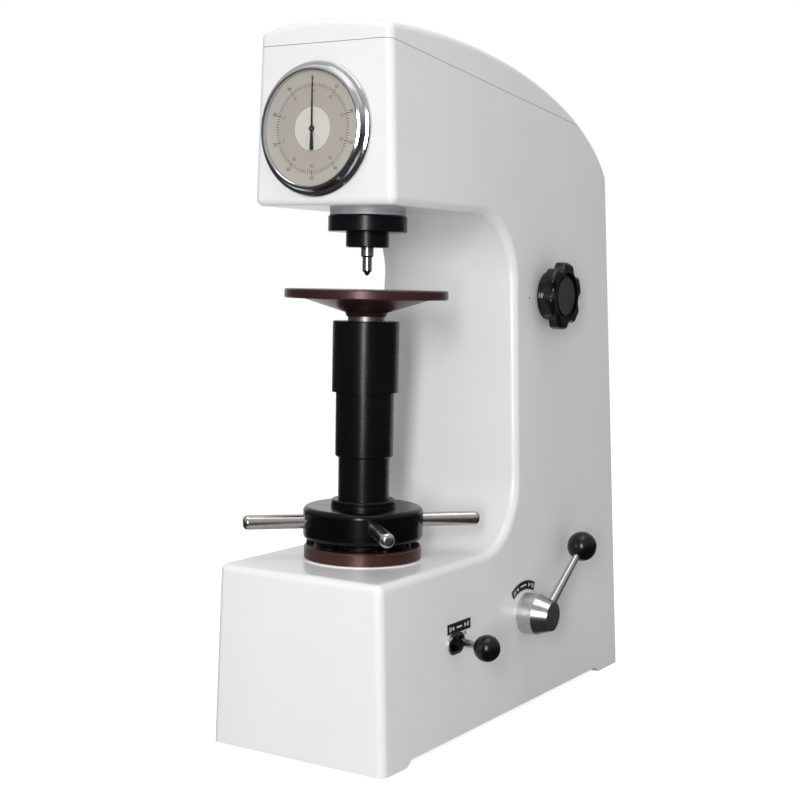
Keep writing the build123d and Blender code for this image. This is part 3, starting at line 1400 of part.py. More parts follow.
def unloading_ball():
    """Black ball on the end of the arm."""
    angle = radians(UNLOAD_ANGLE)
    y = UNLOAD_Y + UNLOAD_ARM * cos(angle)
    z = UNLOAD_Z + UNLOAD_ARM * sin(angle)
    return Pos(side_x(UNLOAD_Z) + UNLOAD_ARM_X, y, z) * Sphere(UNLOAD_BALL_R) - unloading_rod()


def unloading_shaft():
    """Shaft of the unloading lever across the base."""
    side = side_x(UNLOAD_Z)
    start = WALL / 2 + CUT - side
    return bar_x(UNLOAD_SHAFT_R, start, side + UNLOAD_HUB_END - UNLOAD_HUB_FACE_T, UNLOAD_Y, UNLOAD_Z)


def polar(radius, angle):
    """Point at a radius and an angle in degrees."""
    return radius * cos(radians(angle)), radius * sin(radians(angle))


def lifting_cam():
    """Spiral cam on the unloading shaft, whose rise is even over the lever's sweep."""
    rate = LIFT / CAM_SWEEP
    first = 90 + CAM_BEFORE
    step = (CAM_SWEEP + 2 * CAM_BEFORE) / CAM_STEPS
    angles = [first - step * i for i in range(CAM_STEPS + 1)]
    spiral = [polar(CAM_START_R + rate * (90 - angle), angle) for angle in angles]
    heel = [polar(CAM_BACK_R, angle) for angle in (CAM_BACK_FROM, 180, CAM_BACK_TO)]
    outline = Curve() + Spline(*spiral) + Line(spiral[-1], heel[0])
    outline += ThreePointArc(*heel) + Line(heel[-1], spiral[0])
    plane = Plane(origin=(-CAM_HALF, UNLOAD_Y, UNLOAD_Z), x_dir=(0, 1, 0), z_dir=(1, 0, 0))
    cam = extrude(plane * make_face(outline), 2 * CAM_HALF)
    return cam - bar_x(UNLOAD_SHAFT_R, -CAM_HALF - CUT, CAM_HALF + CUT, UNLOAD_Y, UNLOAD_Z)


def lifting_rod():
    """Follower rod of the cam, with the arm that lifts the weight hanger."""
    top = WEIGHT_BOTTOM - HANGER_COLLAR_H - SEAT_GAP
    low = top - LIFT_ARM_H
    tip_z = LIFT_TIP_Z + LIFT_TIP_R
    lifter = disc(LIFT_ROD_R, tip_z, top, 0, UNLOAD_Y)
    lifter += bar_x(LIFT_TIP_R, -LIFT_ROD_R, LIFT_ROD_R, UNLOAD_Y, tip_z)
    lifter += block(-LIFT_ARM_HALF, LIFT_ARM_HALF, UNLOAD_Y, HANGER_Y, low, top)
    lifter += disc(LIFT_EYE_R, low, top, 0, HANGER_Y)
    return lifter - disc(HANGER_R + SLIDE_GAP, low - CUT, top + CUT, 0, HANGER_Y)


# Loading lever


def loading_x():
    """X of the loading lever's pivot."""
    return side_x(LOADING_Z) - LOADING_INSET


def loading_frame():
    """Pivot of the loading lever, with X along its rod."""
    return Pos(loading_x(), LOADING_Y, LOADING_Z) * Rot(0, 0, -LOADING_ANGLE)


def latch_shaft_ends():
    """Lower and upper end of the loading lever's shaft."""
    low, high = LATCH_LUG_DROPS
    return LOADING_Z + low + LATCH_SHAFT_SEAT, LOADING_Z + high + LATCH_LUG_T + CUT


def latch_shaft():
    """Upright pivot shaft of the loading lever."""
    low, high = latch_shaft_ends()
    return disc(LATCH_SHAFT_R, low, high, loading_x(), LOADING_Y)


def loading_rod():
    """Bright rod of the loading lever."""
    return loading_frame() * bar_x(LOADING_ROD_R, 0, LOADING_REACH - LOADING_ROD_END, 0, 0) - latch_shaft()


def loading_ball():
    """Black ball of the loading lever."""
    ball = Pos(LOADING_REACH, 0, 0) * Sphere(LOADING_BALL_R)
    return loading_frame() * (ball - bar_x(LOADING_ROD_R, 0, LOADING_REACH - LOADING_ROD_END, 0, 0))


def loading_latch():
    """Pivot shaft and pawl that release the dashpot."""
    pawl = block(-PAWL_LENGTH, 0, -PAWL_HALF, PAWL_HALF, PAWL_BOTTOM, PAWL_TOP)
    return latch_shaft() + loading_frame() * pawl


def slot_liner():
    """Chromed rim round the slot of the loading lever, with a thin sleeve through the wall."""
    wall = side_x(LOADING_Z)
    inside = wall - SLOT_WALL
    wide = SLOT_LENGTH + 2 * SLEEVE_WALL
    high = SLOT_HEIGHT + 2 * SLEEVE_WALL
    liner = slot_prism(SLOT_LENGTH + 2 * SLOT_RIM, SLOT_HEIGHT + 2 * SLOT_RIM, inside, wall + SLOT_RIM_T)
    liner = liner - wall_side() + slot_prism(wide, high, inside, wall)
    return liner - slot_prism(SLOT_LENGTH, SLOT_HEIGHT, inside - CUT, wall + 2 * CUT)


SUBPARTS = [
    body_casting,
    top_cover,
    rear_cover,
    rear_cover_screws,
    spindle_bush,
    spindle_collar,
    spindle_guard,
    spindle,
    spindle_nose,
    nose_set_screws,
    indenter_holder,
    indenter_tip,
    anvil,
    elevating_screw,
    upper_sleeve,
    middle_sleeve,
    lower_sleeve,
    sleeve_collar,
    handwheel_hub,
    handwheel_rods,
    thrust_bearing,
    base_flange,
    flange_screws,
    screw_guide,
    gauge_case,
    bezel,
    crystal,
    dial_face,
    dial_centre,
    long_pointer,
    centre_pinion,
    small_pointer,
    counter_gear,
    gauge_rack,
    main_lever,
    lever_knives,
    lever_fulcrum,
    poise_weight,
    indicator_lever,
    indicator_bracket,
    weights,
    weight_hanger,
    dashpot_piston,
    dashpot_cylinder,
    selector_knob,
    selector_cap,
    selector_shaft,
    selector_cams,
    unloading_collar,
    unloading_hub,
    unloading_rod,
    unloading_ball,
    unloading_shaft,
    lifting_cam,
    lifting_rod,
    loading_rod,
    loading_ball,
    loading_latch,
    slot_liner,
]

if __name__ == "__main__":
    os.makedirs("parts", exist_ok=True)
    for make in SUBPARTS:
        save(make.__name__, make())
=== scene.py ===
import json
import math

import bpy
from mathutils import Euler, Matrix, Vector


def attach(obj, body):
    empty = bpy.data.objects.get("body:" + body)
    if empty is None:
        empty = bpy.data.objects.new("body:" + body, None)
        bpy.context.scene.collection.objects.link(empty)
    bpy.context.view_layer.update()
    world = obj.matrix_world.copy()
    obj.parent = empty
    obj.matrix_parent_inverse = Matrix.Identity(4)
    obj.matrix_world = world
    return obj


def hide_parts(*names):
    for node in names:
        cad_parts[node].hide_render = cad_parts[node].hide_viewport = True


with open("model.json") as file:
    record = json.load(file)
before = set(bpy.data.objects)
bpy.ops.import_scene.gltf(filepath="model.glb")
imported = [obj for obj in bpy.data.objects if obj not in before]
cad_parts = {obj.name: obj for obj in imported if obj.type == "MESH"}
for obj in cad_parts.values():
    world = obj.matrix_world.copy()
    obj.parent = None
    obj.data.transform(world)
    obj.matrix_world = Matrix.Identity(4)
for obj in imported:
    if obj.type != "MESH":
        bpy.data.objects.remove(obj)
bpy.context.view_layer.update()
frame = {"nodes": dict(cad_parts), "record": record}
nodes = frame["nodes"]
mm = 0.001
mergeDistance = 1e-6
print("frame loaded with", len(nodes), "nodes")


# shader helpers: a Wire is an output socket that can stand in a sum, and a Finish is one node tree
class Wire:
    def __init__(self, owner, socket):
        self.owner = owner
        self.socket = socket

    def join(self, operation, first, second):
        return self.owner.node("ShaderNodeMath", {"operation": operation}, {0: first, 1: second})

    def __add__(self, other):
        return self.join("ADD", self, other)

    def __radd__(self, other):
        return self.join("ADD", other, self)

    def __sub__(self, other):
        return self.join("SUBTRACT", self, other)

    def __rsub__(self, other):
        return self.join("SUBTRACT", other, self)

    def __mul__(self, other):
        return self.join("MULTIPLY", self, other)

    def __rmul__(self, other):
        return self.join("MULTIPLY", other, self)

    def __truediv__(self, other):
        return self.join("DIVIDE", self, other)

    def __pow__(self, other):
        return self.join("POWER", self, other)


class Finish:
    def __init__(self, tree):
        self.tree = tree

    def node(self, kind, settings=None, inputs=None, out=0):
        made = self.tree.nodes.new(kind)
        for key, value in (settings or {}).items():
            if key == "stops":
                self.setStops(made.color_ramp, value)
            else:
                setattr(made, key, value)
        for key, value in (inputs or {}).items():
            if isinstance(value, Wire):
                self.tree.links.new(value.socket, made.inputs[key])
            else:
                made.inputs[key].default_value = value
        return Wire(self, made.outputs[out]) if len(made.outputs) else None

    def setStops(self, ramp, stops):
        while len(ramp.elements) < len(stops):
            ramp.elements.new(0.5)
        for element, (place, level) in zip(ramp.elements, stops):
            element.position = place
            element.color = (level, level, level, 1)

    def coords(self, centre=(0, 0, 0)):
        where = self.node("ShaderNodeTexCoord", out="Object")
        return self.node("ShaderNodeVectorMath", {"operation": "SUBTRACT"}, {0: where, 1: centre})

    def noise(self, where, scale, detail=3.0, rough=0.5):
        inputs = {"Vector": where, "Scale": scale, "Detail": detail, "Roughness": rough}
        return self.node("ShaderNodeTexNoise", {}, inputs)

    def ramp(self, value, stops):
        return self.node("ShaderNodeValToRGB", {"stops": stops}, {"Fac": value})

    def blend(self, share, first, second):
        inputs = {"Factor": share, 6: first, 7: second}
        return self.node("ShaderNodeMix", {"data_type": "RGBA"}, inputs, out=2)

    def bump(self, height, distance, strength):
        inputs = {"Height": height, "Distance": distance, "Strength": strength}
        return self.node("ShaderNodeBump", {}, inputs)

    def parts(self, vector):
        made = self.node("ShaderNodeSeparateXYZ", {}, {0: vector})
        return [Wire(self, socket) for socket in made.socket.node.outputs]

    def lightPath(self, *names):
        outputs = self.node("ShaderNodeLightPath").socket.node.outputs
        return [Wire(self, outputs[name]) for name in names]

    def radius(self, axis, centre):
        # distance from an axis through the centre
        x, y, z = self.parts(self.coords(centre))
        across = {"x": (y, z), "y": (x, z), "z": (x, y)}[axis]
        return (across[0] * across[0] + across[1] * across[1]) ** 0.5

    def close(self, shader):
        self.node("ShaderNodeOutputMaterial", {}, {"Surface": shader})


def colour(tone):
    # tones are written as screen values from 0 to 255
    def linear(level):
        return level / 255 / 12.92 if level < 11 else ((level / 255 + 0.055) / 1.055) ** 2.4
    return tuple(linear(level) for level in tone) + (1.0,)


def newFinish(name):
    material = bpy.data.materials.new(name)
    material.use_nodes = True
    material.node_tree.nodes.clear()
    return material, Finish(material.node_tree)


def withSurface(material, finish, inputs):
    finish.close(finish.node("ShaderNodeBsdfPrincipled", {}, inputs))
    return material


# ramps: patches of a second tone in a noise, and an even rise
patches = [(0.35, 0), (0.75, 1)]
widePatches = [(0.35, 0), (0.7, 1)]
steelPatches = [(0.3, 0), (0.75, 1)]
evenRise = [(0.0, 0), (1.0, 1)]


def makePaint(name, base, shade, gloss, coat, grain, shine=0.5, metallic=0.0):
    # enamel with a soft orange peel and a little unevenness in tone
    material, f = newFinish(name)
    where = f.coords()
    cloud = f.noise(where, scale=9, detail=3)
    peel = f.noise(where, scale=grain, detail=2)
    fine = f.noise(where, scale=grain * 5, detail=2)
    tone = f.blend(f.ramp(cloud, widePatches), colour(base), colour(shade))
    return withSurface(material, f, {
        "Base Color": tone, "Roughness": gloss + 0.07 * cloud + 0.05 * fine,
        "Normal": f.bump(peel + 0.15 * fine, distance=0.12 * mm, strength=0.5),
        "Coat Weight": coat, "Coat Roughness": 0.08,
        "Specular IOR Level": shine, "Metallic": metallic,
    })


def makeMetal(name, base, shade, gloss, scale, depth=0.03 * mm):
    # worked steel: fine grain, small stains, changing gloss
    material, f = newFinish(name)
    grain = f.noise(f.coords(), scale=scale, detail=4, rough=0.6)
    stains = f.noise(f.coords(), scale=60, detail=4, rough=0.6)
    tone = f.blend(f.ramp(stains, steelPatches), colour(base), colour(shade))
    return withSurface(material, f, {
        "Base Color": tone, "Metallic": 1.0, "Roughness": gloss + 0.16 * grain + 0.08 * stains,
        "Normal": f.bump(grain, distance=depth, strength=0.6),
    })


def makeTurned(name, base, shade, gloss, axis, centre=(0, 0, 0), metallic=1.0):
    # lathe work: fine rings round an axis
    material, f = newFinish(name)
    pitch = 9000
    radius = f.radius(axis, centre)
    along = f.parts(f.coords(centre))["xyz".index(axis)]
    where = f.node("ShaderNodeCombineXYZ", {}, {0: radius * pitch, 1: along * pitch})
    rings = f.noise(where, scale=1, detail=2)
    spots = f.noise(f.coords(), scale=140, detail=3)
    tone = f.blend(f.ramp(spots, patches), colour(base), colour(shade))
    return withSurface(material, f, {
        "Base Color": tone, "Metallic": metallic, "Roughness": gloss + 0.12 * rings + 0.06 * spots,
        "Normal": f.bump(rings, distance=0.02 * mm, strength=0.5),
    })


def makePlain(name, base, shade, gloss, metallic=0.0, scale=220, depth=0.03 * mm, shine=0.5):
    # moulded, blackened or printed surface with fine grain and finger marks
    material, f = newFinish(name)
    grain = f.noise(f.coords(), scale=scale, detail=3)
    marks = f.noise(f.coords(), scale=28, detail=3, rough=0.6)
    tone = f.blend(f.ramp(marks, patches), colour(base), colour(shade))
    return withSurface(material, f, {
        "Base Color": tone, "Metallic": metallic, "Roughness": gloss + 0.1 * marks + 0.05 * grain,
        "Specular IOR Level": shine, "Normal": f.bump(grain, distance=depth, strength=0.4),
    })


dialSpec = {
    "centre": (-6 * mm, 0, 537.5 * mm),
    "front": -77 * mm,           # front of the dial's two discs
    "bandRadius": 35.4 * mm,     # where the paler numbered band starts
    "bandSoft": 0.6 * mm,
    "innerTone": (187, 177, 170),
    "bandTone": (194, 188, 181),
    "centreTone": (222, 217, 212),
    "stainTone": (160, 150, 140),
    "stainShare": 0.12,
    "blackInk": (38, 36, 36),
    "redInk": (190, 78, 74),
}


def makeDialPaint():
    material, f = newFinish("dialPaint")
    radius = f.radius("y", dialSpec["centre"])
    reach = (radius - dialSpec["bandRadius"]) / dialSpec["bandSoft"] + 0.5
    band = f.ramp(reach, evenRise)
    grain = f.noise(f.coords(), scale=400, detail=2)
    cloud = f.noise(f.coords(), scale=25, detail=2)
    tone = f.blend(band, colour(dialSpec["innerTone"]), colour(dialSpec["bandTone"]))
    tone = f.blend(dialSpec["stainShare"] * cloud, tone, colour(dialSpec["stainTone"]))
    return withSurface(material, f, {
        "Base Color": tone, "Roughness": 0.42 + 0.1 * grain,
        "Normal": f.bump(grain, distance=0.01 * mm, strength=0.3),
    })


glassSpec = {"clear": (0.97, 0.975, 0.97, 1), "mirror": (0.9, 0.92, 0.92, 1), "mirrorShare": 0.035}


def makeGlass():
    # clear sheet with a faint mirror over it
    material, f = newFinish("clearGlass")
    smear = f.noise(f.coords(), scale=30, detail=3)
    clear = f.node("ShaderNodeBsdfTransparent", {}, {"Color": glassSpec["clear"]})
    mirror = f.node("ShaderNodeBsdfPrincipled", {}, {
        "Base Color": glassSpec["mirror"], "Roughness": 0.02 + 0.05 * smear, "Metallic": 1.0,
    })
    f.close(f.node("ShaderNodeMixShader", {}, {0: glassSpec["mirrorShare"], 1: clear, 2: mirror}))
    return material


finishes = {
    "cream_paint": makePaint(
        "creamPaint", (235, 235, 236), (231, 231, 232), gloss=0.26, coat=0.3, grain=300),
    "brown_enamel": makePaint(
        "brownEnamel", (74, 43, 40), (56, 33, 31), gloss=0.27, coat=0.0, grain=500, metallic=0.4),
    "bright_steel": makeMetal(
        "brightSteel", (200, 197, 194), (182, 178, 174), gloss=0.2, scale=900),
    "plain_steel": makePlain(
        "plainSteel", (150, 150, 150), (132, 131, 130), gloss=0.36, metallic=1.0),
    "black_oxide": makePlain(
        "blackOxide", (11, 11, 14), (15, 15, 18), gloss=0.2, scale=300, shine=0.2),
    "black_gloss": makePlain(
        "blackGloss", (5, 5, 6), (9, 9, 10), gloss=0.12, scale=160, depth=0.02 * mm, shine=0.2),
    "chrome_plate": makePlain(
        "chromePlate", (214, 214, 216), (200, 200, 204), gloss=0.04, metallic=1.0, scale=120,
        depth=0.01 * mm),
    "diamond": makePlain("diamondTip", (60, 58, 58), (40, 38, 38), gloss=0.12, metallic=0.5),
    "clear_glass": makeGlass(),
    "dial_paint": makeDialPaint(),
    "black_hand": makePlain("blackHand", dialSpec["blackInk"], (28, 27, 27), gloss=0.4),
    "brass": makePlain("brass", (196, 160, 92), (176, 140, 78), gloss=0.3, metallic=1.0),
    "zinc": makePlain("zincPlate", (190, 192, 194), (170, 172, 174), gloss=0.34, metallic=1.0),
    "cast_iron": makePlain(
        "castIron", (74, 74, 76), (58, 58, 60), gloss=0.55, metallic=0.4, scale=500,
        depth=0.1 * mm),
    "black_plastic": makePlain(
        "blackPlastic", (9, 8, 9), (13, 12, 13), gloss=0.17, scale=500, depth=0.02 * mm,
        shine=0.35),
    "grey_plastic": makePlain(
        "greyPlastic", (50, 49, 54), (56, 55, 60), gloss=0.5, scale=600, shine=0.35),
}
leverPivot = (0, 155 * mm, 94 * mm)
drawnSteel = makeMetal(
    "drawnSteel", (196, 192, 188), (176, 172, 168), gloss=0.1, scale=120, depth=0.004 * mm)
nodeFinishes = {
    "dial_centre": makePlain("centreDisc", dialSpec["centreTone"], (218, 214, 208), gloss=0.45),
    "indenter_holder": makeTurned(
        "turnedSteel", (186, 183, 180), (166, 162, 158), gloss=0.2, axis="z"),
    "spindle_collar": makeTurned(
        "satinCollar", (190, 188, 194), (172, 170, 176), gloss=0.38, axis="z", metallic=0.2),
    "unloading_hub": makeTurned(
        "turnedLever", (178, 176, 174), (160, 158, 156), gloss=0.14, axis="x", centre=leverPivot),
    "unloading_collar": makeTurned(
        "turnedCollar", (206, 206, 206), (190, 190, 190), gloss=0.3, axis="x", centre=leverPivot),
    "handwheel_rods": drawnSteel,
    "unloading_rod": drawnSteel,
    "loading_rod": drawnSteel,
}
whitePrint = makePlain("whitePrint", (226, 226, 224), (208, 208, 206), gloss=0.5)
blackPrint = makePlain("blackPrint", dialSpec["blackInk"], (50, 48, 47), gloss=0.5)
redPrint = makePlain("redPrint", dialSpec["redInk"], (176, 92, 88), gloss=0.5)
plateBlack = makePlain("plateBlack", (20, 20, 22), (30, 30, 32), gloss=0.4, shine=0.3)
plateSilver = makePlain(
    "plateSilver", (190, 192, 194), (170, 172, 174), gloss=0.32, metallic=1.0)
dotPaint = makePlain("dotPaint", (74, 34, 30), (58, 28, 26), gloss=0.5)

for row in frame["record"]["subparts"]:
    material = nodeFinishes.get(row["node"], finishes[row["material_slot"]])
    for materialSlot in nodes[row["node"]].material_slots:
        materialSlot.material = material
print("finishes given to the CAD nodes")


# modelling helpers
def clearSelection():
    if bpy.context.object and bpy.context.object.mode != "OBJECT":
        bpy.ops.object.mode_set(mode="OBJECT")
    bpy.ops.object.select_all(action="DESELECT")


def makeActive(piece):
    clearSelection()
    piece.select_set(True)
    bpy.context.view_layer.objects.active = piece


def settle(piece):
    # the piece's place goes into its mesh
    makeActive(piece)
    bpy.ops.object.transform_apply(location=True, rotation=True, scale=True)
    return piece


def place(piece, matrix):
    piece.matrix_world = matrix
    return settle(piece)


def joined(pieces, name):
    makeActive(pieces[0])
    for piece in pieces:
        piece.select_set(True)
    if len(pieces) > 1:
        bpy.ops.object.join()
    piece = bpy.context.object
    piece.name = name
    piece.data.name = name
    return piece


def dress(piece, material, body, smooth=None):
    piece.data.materials.clear()
    piece.data.materials.append(material)
    if smooth:
        makeActive(piece)
        bpy.ops.object.shade_smooth_by_angle(angle=math.radians(smooth))
    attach(piece, body)
    return piece


def block(size, centre, turn=0.0):
    # box of a size along X, Y and Z, turned about Z
    clearSelection()
    bpy.ops.mesh.primitive_cube_add(size=1, location=centre, rotation=(0, 0, turn))
    piece = bpy.context.object
    piece.scale = size
    return settle(piece)


def sheet(size, centre, turn=0.0):
    # flat face of a size along X and Y, turned about Y
    clearSelection()
    bpy.ops.mesh.primitive_plane_add(size=1, location=centre)
    piece = bpy.context.object
    piece.scale = (size[0], size[1], 1)
    piece.rotation_euler = (0, turn, 0)
    return settle(piece)


def editMesh(piece, *steps):
    # runs each step on the whole mesh
    makeActive(piece)
    bpy.ops.object.mode_set(mode="EDIT")
    for step in steps:
        bpy.ops.mesh.select_all(action="SELECT")
        step()
    bpy.ops.object.mode_set(mode="OBJECT")


def spin(steps, angle, centre, axis, copies=False):
    return lambda: bpy.ops.mesh.spin(
        steps=steps, dupli=copies, angle=angle, center=centre, axis=axis)


def mergeDoubles():
    bpy.ops.mesh.remove_doubles(threshold=mergeDistance)


def closeEnds():
    bpy.ops.mesh.fill_holes(sides=4)


def faceOutwards():
    bpy.ops.mesh.normals_make_consistent(inside=False)


def withModifier(piece, kind, **settings):
    makeActive(piece)
    modifier = piece.modifiers.new(kind.lower(), kind)
    for key, value in settings.items():
        setattr(modifier, key, value)
    bpy.ops.object.modifier_apply(modifier=modifier.name)
    return piece


def finishEdges(piece, width, segments=2):
    return withModifier(piece, "BEVEL", width=width, segments=segments, limit_method="ANGLE")


def combine(piece, tool, operation):
    withModifier(piece, "BOOLEAN", operation=operation, solver="EXACT", object=tool)
    bpy.data.objects.remove(tool)
    return piece


def flatText(words, height, thick):
    # text standing in the XZ plane, read from the front, centred on its own middle
    sizePerHeight = 1.38
    curveSteps = 3
    clearSelection()
    bpy.ops.object.text_add(location=(0, 0, 0))
    label = bpy.context.object
    label.data.body = words
    label.data.size = height * sizePerHeight
    label.data.align_x = "CENTER"
    label.data.align_y = "CENTER"
    label.data.extrude = thick / 2
    label.data.resolution_u = curveSteps
    bpy.ops.object.convert(target="MESH")
    label = bpy.context.object
    label.rotation_euler = (math.radians(90), 0, 0)
    return settle(label)


# dial print: it turns with the bezel
def ringLine(radius, width, thick):
    # thin flat ring on the dial, spun from its cross-section
    x, y, z = dialSpec["centre"]
    line = sheet((width, thick), (x, dialSpec["front"], z + radius), math.radians(90))
    around = spin(dialPrint["lineSteps"], math.tau, (x, 0, z), (0, 1, 0))
    editMesh(line, around, mergeDoubles, faceOutwards)
    return line


def tickRow(centreZ, radius, length, width, thick, count):
    x = dialSpec["centre"][0]
    tick = block((width, thick, length), (x, dialSpec["front"], centreZ + radius))
    editMesh(tick, spin(count, math.tau, (x, 0, centreZ), (0, 1, 0), copies=True))
    return tick


def numberRow(radius, height, thick, numbers):
    x, y, z = dialSpec["centre"]
    labels = []
    for i, number in enumerate(numbers):
        angle = math.tau * i / len(numbers)
        label = flatText(str(number), height, thick)
        spot = (x + radius * math.sin(angle), dialSpec["front"], z + radius * math.cos(angle))
        labels.append(place(label, Matrix.Translation(spot)))
    return labels


dialPrint = {
    "thick": 0.12 * mm,
    "tickRadius": 36.7 * mm,
    "tickLength": 2.4 * mm,
    "tickWidth": 0.45 * mm,
    "tickCount": 100,
    "longLength": 4.0 * mm,
    "longWidth": 0.675 * mm,
    "longCount": 10,
    "lineWidth": 0.12 * mm,
    "lineSteps": 96,
    "numberRadius": 41.2 * mm,
    "numberHeight": 3.0 * mm,
    "numbers": range(0, 100, 10),
    "innerRadius": 31.2 * mm,
    "innerHeight": 2.9 * mm,
    "innerStart": 30,
}


def makeDialPrint():
    p = dialPrint
    z, thick, radius = dialSpec["centre"][2], p["thick"], p["tickRadius"]
    marks = [
        tickRow(z, radius, p["tickLength"], p["tickWidth"], thick, p["tickCount"]),
        tickRow(z, radius, p["longLength"], p["longWidth"], thick, p["longCount"]),
        ringLine(radius - p["tickLength"] / 2, p["lineWidth"], thick),
    ]
    marks += numberRow(p["numberRadius"], p["numberHeight"], thick, p["numbers"])
    dress(joined(marks, "dialMarks"), blackPrint, "bezel_unit")
    inner = [(p["innerStart"] + number) % 100 for number in p["numbers"]]
    redMarks = numberRow(p["innerRadius"], p["innerHeight"], thick, inner)
    dress(joined(redMarks, "dialRedNumbers"), redPrint, "bezel_unit")


makeDialPrint()
print("dial printed")


# pieces on the right wall, each made upright at the origin with X away from the wall
wallSpec = {
    "halfWidth": 91 * mm,
    "draft": 0.039,
    "plateBottom": -0.1 * mm,    # plates go this deep into the paint
    "rimTop": 0.315 * mm,
    "plateTop": 0.45 * mm,
    "inkBottom": 0.36 * mm,
    "inkTop": 0.53 * mm,
}


def onWall(piece, y, z):
    # moves a piece from the origin to a place on the leaning right wall
    x = wallSpec["halfWidth"] - wallSpec["draft"] * z
    lean = Matrix.Rotation(-math.atan(wallSpec["draft"]), 4, "Y")
    return place(piece, Matrix.Translation((x, y, z)) @ lean)


def turnX(degrees):
    return Matrix.Rotation(math.radians(degrees), 4, "X")


def wallBar(width, height, low, high, y=0.0):
    # small plate or mark: width along Y, height along Z, from low to high above the wall
    return block((high - low, width, height), ((low + high) / 2, y, 0))


def arcBar(inner, outer, start, end, low, high, steps):
    # curved strip round X, spun from its end face
    strip = sheet((high - low, outer - inner), ((low + high) / 2, (inner + outer) / 2, 0))
    along = spin(steps, math.radians(start - end), (0, 0, 0), (1, 0, 0))
    editMesh(strip, along, mergeDoubles, closeEnds, faceOutwards)
    return place(strip, turnX(start))


def arrowHead(length, height, low, high, matrix):
    # three-sided mark whose point looks along +Y
    radius = 0.5
    clearSelection()
    bpy.ops.mesh.primitive_cylinder_add(vertices=3, radius=radius, depth=high - low)
    head = bpy.context.object
    head.rotation_euler = (0, math.radians(90), 0)
    settle(head)
    head.scale = (1, length / (1.5 * radius), height / (math.sqrt(3) * radius))
    head.location = ((low + high) / 2, 0, 0)
    settle(head)
    return place(head, matrix)


def mountPlate(spec, back, face, marks):
    name = spec["name"]
    ink = joined(marks, name + "Marks")
    layers = (
        (back, name + "Rim", plateSilver, "zinc"),
        (face, name, plateBlack, "black_plastic"),
        (ink, name + "Marks", whitePrint, "zinc"),
    )
    for piece, pieceName, material, slotName in layers:
        piece.name = pieceName
        dress(onWall(piece, spec["y"], spec["z"]), material, "frame")


loadingPlate = {
    "name": "loadingPlate",
    "y": 27.0 * mm,
    "z": 104.9 * mm,
    "width": 40.0 * mm,
    "height": 8.4 * mm,
    "border": 0.7 * mm,
    "rimEdge": 0.12 * mm,
    "plateEdge": 0.1 * mm,
    "dash": (9 * mm, 1.5 * mm),
    "arrow": (3.4 * mm, 4.2 * mm),
    "arrowReach": 10.4 * mm,
    "bar": (0.9 * mm, 4.4 * mm),
    "barReaches": (14.6 * mm, 16.6 * mm),
}


def makeLoadingPlate():
    p, w = loadingPlate, wallSpec
    width, height, border = p["width"], p["height"], 2 * p["border"]
    back = wallBar(width + border, height + border, w["plateBottom"], w["rimTop"])
    finishEdges(back, p["rimEdge"])
    face = finishEdges(wallBar(width, height, 0, w["plateTop"]), p["plateEdge"])
    ink = (w["inkBottom"], w["inkTop"])
    marks = [wallBar(*p["dash"], *ink)]
    for side, turn in ((-1, 180), (1, 0)):
        tip = Matrix.Translation((0, side * p["arrowReach"], 0)) @ turnX(turn)
        marks.append(arrowHead(*p["arrow"], *ink, tip))
        for reach in p["barReaches"]:
            marks.append(wallBar(*p["bar"], *ink, side * reach))
    mountPlate(p, back, face, marks)


unloadingPlate = {
    "name": "unloadingPlate",
    "y": 152.9 * mm,
    "z": 73.5 * mm,
    "inner": 43.8 * mm,
    "outer": 51.6 * mm,
    "start": 65.5,
    "end": 120.5,
    "steps": 30,
    "border": 0.5 * mm,
    "borderAngle": 0.6,
    "dashHalf": 0.7 * mm,
    "dashAngles": (86, 100),
    "dashSteps": 12,
    "arrow": (3.6 * mm, 4.2 * mm),
    "arrowAngles": ((1, 107), (-1, 79)),
    "barHalf": 2.3 * mm,
    "barAngles": (68, 71.5, 112.5, 116),
    "barSpan": 1.2,
    "barSteps": 1,
}


def makeUnloadingPlate():
    p, w = unloadingPlate, wallSpec
    inner, outer, border = p["inner"], p["outer"], p["border"]
    start, end, extra = p["start"], p["end"], p["borderAngle"]
    middle = (inner + outer) / 2
    back = arcBar(inner - border, outer + border, start - extra, end + extra,
                  w["plateBottom"], w["rimTop"], p["steps"])
    face = arcBar(inner, outer, start, end, 0, w["plateTop"], p["steps"])
    ink = (w["inkBottom"], w["inkTop"])
    half = p["dashHalf"]
    marks = [arcBar(middle - half, middle + half, *p["dashAngles"], *ink, p["dashSteps"])]
    for side, angle in p["arrowAngles"]:
        spot = Vector((0, math.cos(math.radians(angle)), math.sin(math.radians(angle)))) * middle
        tip = Matrix.Translation(spot) @ turnX(angle + 90 * side)
        marks.append(arrowHead(*p["arrow"], *ink, tip))
    half, span = p["barHalf"], p["barSpan"]
    for angle in p["barAngles"]:
        bar = arcBar(middle - half, middle + half, angle, angle + span, *ink, p["barSteps"])
        marks.append(bar)
    mountPlate(p, back, face, marks)


headSpec = {
    "sides": 24,
    "sink": 0.1 * mm,
    "edgeShare": 0.45,           # rounding, as a share of the height
    "edgeSegments": 3,
    "slotLength": 3.0,           # slot, as shares of radius and height
    "slotWidth": 0.34,
    "slotBottom": 0.55,
    "slotTop": 2.0,
    "slotTurn": math.radians(35),
}
smoothAngle = 35


